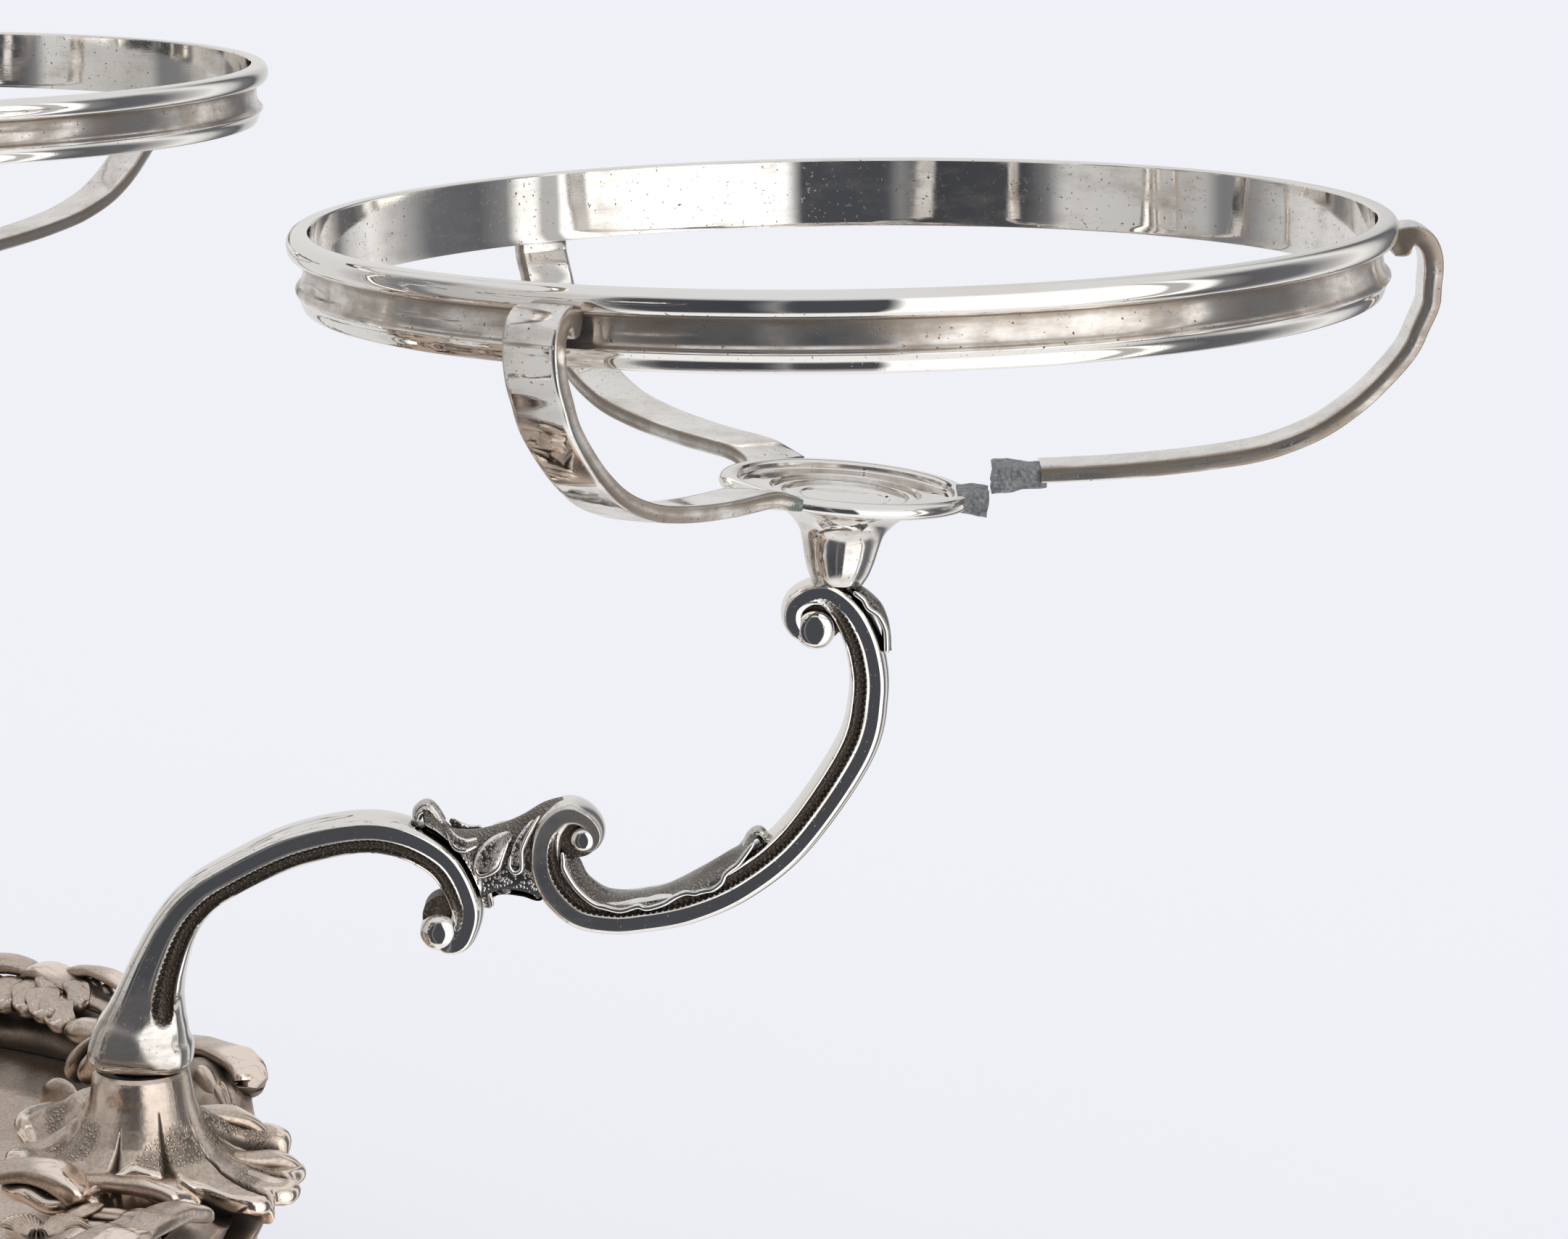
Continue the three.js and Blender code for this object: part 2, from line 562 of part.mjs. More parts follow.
// Cup: a trumpet stem that flares into a shallow stepped dish with a rounded rim
function cup() {
  const top = CUP_HEIGHT;
  const rim = CUP_RADIUS;
  const body = turned([
    [0, 0],
    [0.8 * CUP_FOOT_RADIUS, 0],
    [CUP_FOOT_RADIUS, 0.035 * top],
    [1.19 * CUP_FOOT_RADIUS, 0.126 * top],
    [1.41 * CUP_FOOT_RADIUS, 0.385 * top],
    [1.59 * CUP_FOOT_RADIUS, 0.517 * top],
    [2.04 * CUP_FOOT_RADIUS, 0.65 * top],
    [0.66 * rim, top - 1.36 * CUP_RIM],
    [0.96 * rim, top - CUP_RIM],
    [rim, top - CUP_RIM / 2],
    [0.95 * rim, top],
    [0.84 * rim, top - 0.23 * CUP_RIM],
    [0.58 * rim, top - 0.59 * CUP_RIM],
    [0.5 * rim, top - 0.82 * CUP_RIM],
    [0, top - 0.86 * CUP_RIM],
  ], CUP_SIDES);
  return body.subtract(bore(STUD_RADIUS + STUD_PLAY, -OVERCUT, STUD_IN_CUP + GAP, 8));
}

// Grey solder left from an old repair, torn apart: a flared lump on the strap and a stub on the cup
function tornBlock(from, to, low, high, flare) {
  const section = (x, grow) => {
    const wide = 0.42 * STRAP_WIDTH + grow;
    return [[x, -wide, low - grow], [x + TEAR, wide, low - 0.6 * grow], [x - TEAR, 0.8 * wide, high + grow],
      [x + TEAR / 2, TEAR, high + TEAR * grow], [x, -0.85 * wide, high + grow]];
  };
  return skinned([section(from, 0.3 * flare), section((from + to) / 2, 0.4 * flare), section(to, flare)]);
}

function strapLump() {
  const drop = CRADLE_RISE - CUP_HEIGHT + CUP_RIM / 2;
  const level = -0.955 * drop;
  const half = STRAP_THICKNESS / 2;
  const from = BREAK_RADIUS - GAP - TEAR;
  return tornBlock(-from, LUMP_LENGTH - from, level - half, level + half, LUMP_FLARE).rotate([0, 0, 180]);
}

function cupLump() {
  const middle = CUP_HEIGHT - CUP_RIM / 2;
  const from = CUP_RADIUS + GAP + TEAR;
  const half = STRAP_THICKNESS / 2;
  return tornBlock(from, from + STUB_LENGTH, middle - half, middle + half, STUB_FLARE);
}

const stud = (radius, below, above) => rod(radius, GAP - below, above, 8);

// Column: a turned baluster on a spreading foot, bored below for the tie rod and above for its stud
function column() {
  const h = COLUMN_HEIGHT;
  const r = COLUMN_RADIUS;
  const body = turned([
    [0, 0], [r, 0], [r, 0.02 * h], [0.8 * r, 0.04 * h], [0.42 * r, 0.09 * h], [0.3 * r, 0.15 * h],
    [0.36 * r, 0.17 * h], [0.3 * r, 0.19 * h], [0.4 * r, 0.27 * h], [0.6 * r, 0.38 * h], [0.62 * r, 0.44 * h],
    [0.46 * r, 0.54 * h], [0.26 * r, 0.68 * h], [0.22 * r, 0.82 * h], [0.32 * r, 0.85 * h], [0.24 * r, 0.88 * h],
    [0.28 * r, 0.96 * h], [0.24 * r, h], [0, h],
  ], COLUMN_SIDES);
  return body
    .subtract(bore(ROD_RADIUS + GAP, -OVERCUT, ROD_IN_COLUMN + GAP))
    .subtract(bore(STUD_RADIUS + STUD_PLAY, h - STUD_IN_ARM, h + OVERCUT, 8));
}

const washerTop = wellTop - PLATE_THICKNESS - GAP;
const washerBottom = washerTop - WASHER_THICKNESS;
const nutTop = washerBottom - GAP;

const collar = (radius, bottom, top, sides) =>
  rod(radius, bottom, top, sides).subtract(bore(ROD_RADIUS + GAP, bottom - OVERCUT, top + OVERCUT));

// Assembly
const centrepiece = new THREE.Group();

function buildBase() {
  const base = new THREE.Group();
  base.add(part('base_body', baseBody(), tarnished));
  base.add(part('top_plate', topPlate(), tarnished));
  const pieces = { socket: socket(), border: border(), base_foot: baseFoot() };
  for (let k = 0; k < ARM_COUNT; k += 1) {
    const quarter = (360 * k) / ARM_COUNT;
    const between = quarter + 180 / ARM_COUNT;
    const at = { socket: quarter, border: between, base_foot: between };
    for (const [name, body] of Object.entries(pieces)) {
      const mesh = part(`${name}_${k + 1}`, body, tarnished);
      mesh.rotation.z = rad(at[name]);
      if (name === 'socket') {
        mesh.position.set(SOCKET_CIRCLE * Math.cos(rad(quarter)), SOCKET_CIRCLE * Math.sin(rad(quarter)), 0);
      }
      base.add(mesh);
    }
  }
  base.add(part('tie_rod', rod(ROD_RADIUS, nutTop - NUT_HEIGHT - ROD_BELOW, columnBottom + ROD_IN_COLUMN), steel));
  base.add(part('tie_washer', collar(WASHER_RADIUS, washerBottom, washerTop, ROUND_SIDES), steel));
  base.add(part('tie_nut', collar(NUT_RADIUS, nutTop - NUT_HEIGHT, nutTop, 6), steel));
  const shaft = part('column', column(), polished);
  shaft.position.z = columnBottom;
  const pin = part('column_stud', stud(STUD_RADIUS, STUD_IN_ARM, STUD_IN_CUP), steel);
  pin.position.z = columnTop;
  base.add(shaft, pin);
  return base;
}

// A cradle stands on Z = 0 of its own group: cup, ring and straps
function buildCradle(label, ringRadius, rise, turn) {
  const cradle = new THREE.Group();
  cradle.rotation.z = rad(turn);
  cradle.add(part(`cup_${label}`, cup(), polished));
  const upper = new THREE.Group();
  upper.position.z = rise;
  upper.add(part(`ring_${label}`, ring(ringRadius), polished));
  const front = label === '1';
  for (let k = 0; k < STRAP_COUNT; k += 1) {
    const drift = front ? STRAP_DRIFTS[k] : 0;
    const angle = rad((360 * k) / STRAP_COUNT + drift);
    const fitted = front ? bentStrap(ringRadius, rise, angle) : wholeStrap(ringRadius, rise);
    const body = front && k === 0 ? brokenStrap(ringRadius, rise) : fitted;
    const mesh = part(`strap_${label}_${k + 1}`, body, polished);
    mesh.rotation.z = angle;
    upper.add(mesh);
  }
  cradle.add(upper);
  if (front) {
    cradle.add(part('solder_on_cup', cupLump(), solder));
    upper.add(part('solder_on_strap', strapLump(), solder));
    cradle.rotation.y = rad(CUP_1_TILT);
    upper.matrixAutoUpdate = false;
    upper.matrix.copy(frontRingPlace());
  }
  return cradle;
}

// An arm stands in its socket and tips outward over the outer edge of its foot
function buildArm(k) {
  const tipping = 0.9 * ARM_FOOT_RADIUS;
  const lean = new THREE.Group();
  lean.position.set(SOCKET_CIRCLE + tipping, 0, armSeat);
  lean.rotation.y = k === 0 ? rad(ARM_1_LEAN) : 0;
  const held = new THREE.Group();
  held.position.x = -tipping;
  held.add(part(`arm_${k + 1}`, arm(), polished));
  const pin = part(`arm_stud_${k + 1}`, stud(STUD_RADIUS, STUD_IN_ARM, STUD_IN_CUP), steel);
  pin.position.set(ARM_REACH, 0, ARM_RISE);
  held.add(pin);
  const cradle = buildCradle(`${k + 1}`, RING_RADIUS, CRADLE_RISE, CRADLE_TURNS[k]);
  cradle.position.set(ARM_REACH, 0, cupSeat);
  held.add(cradle);
  lean.add(held);
  const quarter = new THREE.Group();
  quarter.rotation.z = rad((360 * k) / ARM_COUNT);
  quarter.add(lean);
  return quarter;
}

centrepiece.add(buildBase());
for (let k = 0; k < ARM_COUNT; k += 1) {
  centrepiece.add(buildArm(k));
}
const middle = buildCradle('middle', MIDDLE_RING_RADIUS, MIDDLE_RISE, MIDDLE_TURN);
middle.position.z = columnTop + GAP;
centrepiece.add(middle);

export default centrepiece;
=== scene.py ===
"""Detailed surfaces and finishes for a silver table centrepiece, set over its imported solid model."""

import math

import bpy
import numpy as np
from mathutils import Euler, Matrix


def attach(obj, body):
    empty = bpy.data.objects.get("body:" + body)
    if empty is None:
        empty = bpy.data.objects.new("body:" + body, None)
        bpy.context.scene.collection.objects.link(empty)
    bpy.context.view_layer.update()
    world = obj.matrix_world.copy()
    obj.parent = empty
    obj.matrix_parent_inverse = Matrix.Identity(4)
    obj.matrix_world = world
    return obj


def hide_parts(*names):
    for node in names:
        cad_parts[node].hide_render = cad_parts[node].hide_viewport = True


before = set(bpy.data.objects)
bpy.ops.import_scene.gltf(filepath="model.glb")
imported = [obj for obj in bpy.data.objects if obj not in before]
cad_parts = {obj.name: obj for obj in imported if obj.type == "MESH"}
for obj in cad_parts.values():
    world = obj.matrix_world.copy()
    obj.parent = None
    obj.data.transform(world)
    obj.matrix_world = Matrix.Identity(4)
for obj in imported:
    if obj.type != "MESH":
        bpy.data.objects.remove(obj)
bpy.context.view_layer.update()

bl_info = {
    "name": "Table centrepiece",
    "version": (1, 0, 0),
    "blender": (4, 5, 0),
    "location": "View3D > Sidebar > Centrepiece",
    "description": "Builds the chased and polished surfaces of a silver table centrepiece",
    "category": "Object",
}

# Lengths are in millimetres until a mesh is made; MM turns them into metres
MM = 0.001
ARM_COUNT = 4
STRAP_COUNT = 3
# Arms: height of their seats, how far the first leans, and the distance of the edge about which it tips
ARM_SEAT = 55.0
TIPPING_RADIUS = 6.39
ARM_1_LEAN = 4.0
# Cradles: the bent front one's tilts in degrees and its ring's shift, then each one's turn about its stud
CUP_1_TILT = 0.8
RING_1_TILT = 5.65
RING_1_SHIFT = -3.8
RING_1_RISE = 50.5
CRADLE_TURNS = (0.0, -36.0, 0.0, 60.0)
MIDDLE_TURN = 30.0
MIDDLE_SEAT = 209.9
# Sizes that all cradles share
RING_HEIGHT = 10.2
CUP_RADIUS = 17.5
CUP_HEIGHT = 14.3
CUP_RIM = 2.2
# Damage of the front cradle: where its strap is broken, the lump on that strap's end, the others' bends
BREAK_RADIUS = 26.6
LUMP_DROP = 0.955
LUMP_OFFSET = 0.6
STRAP_DRIFTS = {1: 4.0, 2: 1.5}
FRONT_STRAP_SAG = 1.9
CORRODED_STRAP_SHIFT = 2.2
BEAD_PITCH = 0.85
# Base: heights on which the ornament and the column stand, and how far out its feet reach
ORNAMENT_BOTTOM = 35.3
COLUMN_BOTTOM = 34.2
FOOT_TOE = 95.73


def size(name):
    """One of the sizes that a user can set, in millimetres."""
    return getattr(bpy.context.scene.centrepiece_sizes, name) / MM


# Places

def move(x, y, z):
    """Matrix that shifts by x, y and z."""
    matrix = np.eye(4)
    matrix[:3, 3] = x, y, z
    return matrix


def turn(axis, degrees):
    """Matrix that turns about one axis, "x", "y" or "z"."""
    a, b = {"x": (1, 2), "y": (2, 0), "z": (0, 1)}[axis]
    c, s = math.cos(math.radians(degrees)), math.sin(math.radians(degrees))
    matrix = np.eye(4)
    matrix[a, a] = matrix[b, b] = c
    matrix[b, a], matrix[a, b] = s, -s
    return matrix


def around(k):
    """Turn about the middle of the base to arm k; a half number stands between two arms."""
    return turn("z", 360 * k / ARM_COUNT)


def arm_place(k):
    """Place of arm k's frame: on the socket circle, the first arm tipped outward over its foot's edge."""
    lean = ARM_1_LEAN if k == 0 else 0.0
    pivot = move(size("socket_circle") + TIPPING_RADIUS, 0, ARM_SEAT) @ turn("y", lean)
    return around(k) @ pivot @ move(-TIPPING_RADIUS, 0, 0)


def cup_place(k):
    """Place of cradle k's cup, on the arm's top scroll; k None is the middle cradle on the column."""
    if k is None:
        return move(0, 0, MIDDLE_SEAT) @ turn("z", MIDDLE_TURN)
    seat = arm_place(k) @ move(size("arm_reach"), 0, size("cup_seat"))
    return seat @ turn("y", CUP_1_TILT if k == 0 else 0.0) @ turn("z", CRADLE_TURNS[k])


def cradle_size(k):
    """Outer radius of cradle k's ring, and the height of the ring's top over the cup's foot."""
    if k is None:
        return size("middle_ring_radius"), size("middle_rise")
    return size("ring_radius"), size("cradle_rise")


def front_ring_shift():
    """Place of the bent front ring over its cup."""
    return move(RING_1_SHIFT, 0, RING_1_RISE) @ turn("y", -RING_1_TILT)


def ring_place(k):
    """Place of cradle k's ring, whose top plane is z = 0 of this frame."""
    return cup_place(k) @ (front_ring_shift() if k == 0 else move(0, 0, cradle_size(k)[1]))


# Curves and surfaces

def ramp(value, low, high):
    """0 below low, 1 above high, and the smooth cubic 3t^2 - 2t^3 between them."""
    t = np.clip((value - low) / (high - low), 0, 1)
    return t * t * (3 - 2 * t)


def rise_and_fall(value, low, high, fall, end):
    """Ramp up from 0 to 1 between low and high, times a ramp back to 0 between fall and end."""
    return ramp(value, low, high) * (1 - ramp(value, fall, end))


def peak(value, centre, width):
    """Bell curve: exp(-((value - centre) / width)^2)."""
    return np.exp(-((value - centre) / width) ** 2)


def blunt(u, power):
    """Share of the width left at share u of a bar with rounded ends: sqrt(1 - (2u - 1)^power)."""
    return np.sqrt(np.clip(1 - (2 * u - 1) ** power, 0, 1))


def circle(count):
    """Angles of count places evenly round a circle, in radians."""
    return np.linspace(0, 2 * np.pi, count, endpoint=False)


def in_plane(x, z):
    """Points of a curve in the plane y = 0."""
    return np.stack([x, 0 * x, z], axis=1)


def round_grid(r, angle, z):
    """Grid of points (r cos a, r sin a, z) at the angles a."""
    return np.stack(np.broadcast_arrays(r * np.cos(angle), r * np.sin(angle), z), axis=-1)


def through(points, count, places=2):
    """Smooth curve through the points, read at count places evenly along its length.

    On each span it is the cubic whose slope at a point is half the step between the point's neighbours.
    The first `places` columns are the place; the others, such as a width, follow along."""
    points = np.asarray(points, float)
    last = len(points) - 1
    t = np.linspace(0, last, 30 * last + 1)
    i = np.minimum(t.astype(int), last - 1)
    f = (t - i)[:, None]
    before, here = points[np.maximum(i - 1, 0)], points[i]
    there, after = points[i + 1], points[np.minimum(i + 2, last)]
    curve = here + 0.5 * f * (there - before + f * (2 * before - 5 * here + 4 * there - after
                                                    + f * (3 * (here - there) + after - before)))
    step = np.linalg.norm(np.diff(curve[:, :places], axis=0), axis=1)
    run = np.concatenate([[0], np.cumsum(step)])
    at = np.linspace(0, run[-1], count)
    return np.stack([np.interp(at, run, column) for column in curve.T], axis=1)


def joined(start, *runs):
    """One outline from a start point and runs of points, each going on from where the last one ended.

    Each run is smoothed by itself, so that the corners between runs stay."""
    pieces = []
    for run in runs:
        run = [start, *run]
        pieces.append(through(run, max(3, 4 * len(run) - 3))[:-1])
        start = run[-1]
    return np.vstack([*pieces, [start]])


RNG = np.random.default_rng(11)
WAVES = RNG.normal(size=(24, 3))
PHASES = RNG.uniform(0, 2 * np.pi, 24)


def uneven(points, length):
    """Smooth noise from about -1 to 1: a sum of 24 sine waves of random directions, some `length` mm long."""
    return np.sin(points @ WAVES.T * (2.4 / length) + PHASES).sum(axis=-1) / 4.5


def grid_faces(rows, columns, closed_rows):
    """Four-sided faces of a grid whose columns close round, and whose rows may too."""
    row = np.arange(rows if closed_rows else rows - 1)
    row, column = np.meshgrid(row, np.arange(columns), indexing="ij")
    below, beside = (row + 1) % rows, (column + 1) % columns
    row, below = row * columns, below * columns
    return np.stack([row + column, row + beside, below + beside, below + column], axis=-1).reshape(-1, 4)


def volume(points, faces):
    """Signed volume inside the faces: a third of each triangle's area times its distance from the origin."""
    first, second, third = points[faces[:, 0]], points[faces[:, 1]], points[faces[:, 2]]
    total = np.einsum("ij,ij->i", first, np.cross(second, third)).sum()
    four = faces[:, 3] >= 0
    first, third, fourth = first[four], third[four], points[faces[four, 3]]
    return (total + np.einsum("ij,ij->i", first, np.cross(third, fourth)).sum()) / 6


def skin(grid, closed_rows=False, **measures):
    """Closed surface over a grid of points, its columns closed round.

    The rows close round as well, or each end row closes on its own middle point."""
    rows, columns = grid.shape[:2]
    points = grid.reshape(-1, 3)
    faces = grid_faces(rows, columns, closed_rows)
    values = {name: np.broadcast_to(value, (rows, columns)).reshape(-1) for name, value in measures.items()}
    if not closed_rows:
        count = rows * columns
        ring = np.arange(columns)
        ahead = (ring + 1) % columns
        last = count - columns
        empty = np.full(columns, -1)
        start = np.stack([ahead, ring, np.full(columns, count), empty], axis=1)
        end = np.stack([ring + last, ahead + last, np.full(columns, count + 1), empty], axis=1)
        faces = np.vstack([faces, start, end])
        points = np.vstack([points, grid[0].mean(axis=0), grid[-1].mean(axis=0)])
        for name, value in values.items():
            values[name] = np.append(value, [value[:columns].mean(), value[-columns:].mean()])
    if volume(points, faces) < 0:
        turned_round = faces[:, [2, 1, 0, 3]]
        four = faces[:, 3] >= 0
        turned_round[four] = faces[four][:, ::-1]
        faces = turned_round
    return points, faces, values


def placed(matrix, *skins):
    """The same skins, carried to the place that the matrix gives."""
    return [(points @ matrix[:3, :3].T + matrix[:3, 3], faces, values) for points, faces, values in skins]


def turned(profile, sides, closed=False, **measures):
    """Surface of revolution: at angle a the profile point (r, z) lies at (r cos a, r sin a, z)."""
    profile = np.asarray(profile, float)
    measures = {name: np.asarray(value)[:, None] for name, value in measures.items()}
    return skin(round_grid(profile[:, :1], circle(sides), profile[:, 1:2]), closed_rows=closed, **measures)


def carried(path, across, depth, upright):
    """Section carried along a path: each row's section point is path + across * side + depth * top.

    The side is square to the path and to the upright direction, and the top is square to path and side."""
    tangent = np.gradient(path, axis=0)
    tangent /= np.linalg.norm(tangent, axis=1, keepdims=True)
    side = np.cross(tangent, np.asarray(upright, float))
    side /= np.linalg.norm(side, axis=1, keepdims=True)
    top = np.cross(side, tangent)
    return path[:, None] + across[..., None] * side[:, None] + depth[..., None] * top[:, None]


def oblong(half_across, half_depth, corner, crown=0.0):
    """Section of a flat bar with rounded corners and faintly crowned faces, one row for each size given.

    Corner points are corner * (1 - cos, 1 - sin) in from the sharp corner; a face's point at share q of its
    half length stands out by crown * (1 - q^2)."""
    arc = np.linspace(0, np.pi / 2, 5)
    flat = np.array([-0.86, 0.0, 0.86])
    zero, one, bulge = 0 * flat, 1 + 0 * flat, 1 - flat ** 2
    table = []
    for quarter, (a, d) in enumerate(((1, 1), (-1, 1), (-1, -1), (1, -1))):
        bend = arc if quarter % 2 == 0 else arc[::-1]
        none = 0 * bend
        in_a, in_d = a * (np.cos(bend) - 1), d * (np.sin(bend) - 1)
        table.append(np.stack([a + none, in_a, none, d + none, in_d, none]))
        if quarter % 2 == 0:
            share = -a * flat
            table.append(np.stack([share, -share, zero, d * one, zero, d * bulge]))
        else:
            share = -d * flat
            table.append(np.stack([a * one, zero, a * bulge, share, -share, zero]))
    table = np.hstack(table)
    half_across, half_depth, corner = (np.atleast_1d(np.asarray(value, float))[:, None]
                                       for value in (half_across, half_depth, corner))
    across = table[0] * half_across + table[1] * corner + table[2] * crown
    depth = table[3] * half_depth + table[4] * corner + table[5] * crown
    return across, depth


def bud(middle, along, length, width, thick, ribs=0, rib_depth=0.0):
    """Bud or petal: a flattened ellipsoid, narrower towards its far tip, with ribs along it.

    At share u of the length the width is sin(pi u)^0.6 (1 - 0.25 u) of the full one."""
    along = np.asarray(along, float) / np.linalg.norm(along)
    u = np.linspace(0.012, 0.988, 20)[:, None]
    v = circle(36)
    swell = np.sin(np.pi * u) ** 0.6 * (1 - 0.25 * u)
    crease = (0.5 + 0.5 * np.cos(ribs * v)) * (ribs > 0)
    rib = 1 - rib_depth * crease
    across = 0.5 * width * swell * np.cos(v) * rib
    depth = 0.5 * thick * swell * np.sin(v) * rib
    grid = carried(np.asarray(middle, float) + (u - 0.5) * length * along, across, depth, (0, 0, 1))
    # Darker underneath as painted shade, and in the creases of its ribs; lighter on top for wear and as a
    # painted highlight
    dirt = 0.5 * (1 - np.sin(v)) * (1 - swell * 0.5) + 0.5 * crease
    return skin(grid, dirt=dirt, worn=np.clip(np.sin(v) - 0.4, 0, 1) * swell)


# Meshes and pieces

def piece(name, body, skins, slot, stands_for, sharp):
    """Makes one object of the skins, in its slot's finish, and puts it on its body in place of the solid.

    It is shaded smooth but for edges of more than `sharp` degrees."""
    shift = np.cumsum([0] + [len(points) for points, _, _ in skins])
    points = np.vstack([s[0] for s in skins]) * MM
    faces = np.vstack([np.where(s[1] >= 0, s[1] + shift[i], -1) for i, s in enumerate(skins)])
    sizes = (faces >= 0).sum(axis=1)
    mesh = bpy.data.meshes.new(name)
    mesh.vertices.add(len(points))
    mesh.vertices.foreach_set("co", points.ravel())
    mesh.loops.add(int(sizes.sum()))
    mesh.loops.foreach_set("vertex_index", faces[faces >= 0])
    mesh.polygons.add(len(faces))
    mesh.polygons.foreach_set("loop_start", np.concatenate([[0], np.cumsum(sizes)[:-1]]))
    mesh.update(calc_edges=True)
    # The first measure darkens for tarnish and for painted shade, the third brightens for wear and for
    # painted highlights
    for measure in ("dirt", "mat", "worn", "bead", "run", "green"):
        values = np.concatenate([s[2].get(measure, np.zeros(len(s[0]))) for s in skins])
        values = np.clip(values, 0, None if measure == "run" else 1)
        layer = mesh.attributes.new(measure, "FLOAT", "POINT")
        layer.data.foreach_set("value", values.astype(np.float32))
    mesh.shade_smooth()
    mesh.set_sharp_from_angle(angle=math.radians(sharp))
    mesh.materials.append(finish(slot))
    made = bpy.data.objects.new(name, mesh)
    bpy.context.scene.collection.objects.link(made)
    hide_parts(*stands_for)
    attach(made, body)


# Shader maths

class Value:
    """A socket of a node tree that can stand in sums, differences and products."""

    def __init__(self, board, socket):
        self.board = board
        self.socket = socket

    def maths(self, operation, *terms):
        return self.board.add("ShaderNodeMath", {"operation": operation}, dict(enumerate(terms)))

    def __add__(self, other):
        return self.maths("ADD", self, other)

    def __radd__(self, other):
        return self.maths("ADD", other, self)

    def __sub__(self, other):
        return self.maths("SUBTRACT", self, other)

    def __rsub__(self, other):
        return self.maths("SUBTRACT", other, self)

    def __mul__(self, other):
        return self.maths("MULTIPLY", self, other)

    def __rmul__(self, other):
        return self.maths("MULTIPLY", other, self)

    def between(self, low, high):
        """0 below low, 1 above high, smooth between them."""
        sockets = {"Value": self, "From Min": low, "From Max": high}
        return self.board.add("ShaderNodeMapRange", {"interpolation_type": "SMOOTHSTEP"}, sockets)

    def larger(self, other):
        return self.maths("MAXIMUM", self, other)

    def sine(self):
        return self.maths("SINE", self)


class Board:
    """The node tree of one material or of the world."""

    def __init__(self, tree):
        self.tree = tree
        tree.nodes.clear()

    def add(self, kind, settings=None, sockets=None, output=0):
        """Adds a node: its settings first, then the values or links of its sockets; gives back one output."""
        node = self.tree.nodes.new(kind)
        for name, setting in (settings or {}).items():
            if name == "stops":
                self.set_stops(node.color_ramp, setting)
            else:
                setattr(node, name, setting)
        for name, value in (sockets or {}).items():
            if isinstance(value, Value):
                self.tree.links.new(value.socket, node.inputs[name])
            else:
                node.inputs[name].default_value = value
        return Value(self, node.outputs[output]) if len(node.outputs) else node

    @staticmethod
    def set_stops(colour_ramp, stops):
        elements = colour_ramp.elements
        while len(elements) > 1:
            elements.remove(elements[-1])
        elements[0].position, elements[0].color = stops[0]
        for position, tone in stops[1:]:
            elements.new(position).color = tone

    def blend(self, share, first, second):
        """Colour that goes from first to second as share goes from 0 to 1."""
        return self.add("ShaderNodeMix", {"data_type": "RGBA"}, {0: share, 6: first, 7: second}, 2)

    def noise(self, place, size_mm, detail=3.0, roughness=0.5):
        sockets = {"Vector": place, "Scale": 1 / (size_mm * MM), "Detail": detail, "Roughness": roughness}
        return self.add("ShaderNodeTexNoise", {}, sockets)

    def cells(self, place, size_mm):
        """Distance from the middle of the nearest of many scattered cells."""
        return self.add("ShaderNodeTexVoronoi", {}, {"Vector": place, "Scale": 1 / (size_mm * MM)})

    def stretched(self, place, x, y, z):
        """The place with each direction drawn out, so that a pattern on it runs along the long one."""
        return self.add("ShaderNodeMapping", {}, {"Vector": place, "Scale": (x, y, z)})

    def measure(self, name):
        return self.add("ShaderNodeAttribute", {"attribute_name": name}, {}, 2)

    def crevice(self, reach_mm):
        """0 on open surfaces, towards 1 where others stand close within the reach: ambient occlusion, which
        the finishes use to paint shade into crevices.
        """
        return 1.0 - self.add("ShaderNodeAmbientOcclusion", {"samples": 6}, {"Distance": reach_mm * MM}, 1)

    def bumps(self, height):
        return self.add("ShaderNodeBump", {}, {"Height": height, "Distance": MM, "Strength": 1.0})


def colour(values):
    return (*values[:3], 1.0)


def new_finish(name):
    material = bpy.data.materials.new(name)
    material.use_nodes = True
    board = Board(material.node_tree)
    place = board.add("ShaderNodeTexCoord", {}, {}, 3)
    return material, board, place


def surface(board, **sockets):
    """Ends a material in one Principled shader with these sockets."""
    named = {name.replace("_", " "): value for name, value in sockets.items()}
    shader = board.add("ShaderNodeBsdfPrincipled", {}, named)
    board.add("ShaderNodeOutputMaterial", {}, {"Surface": shader})


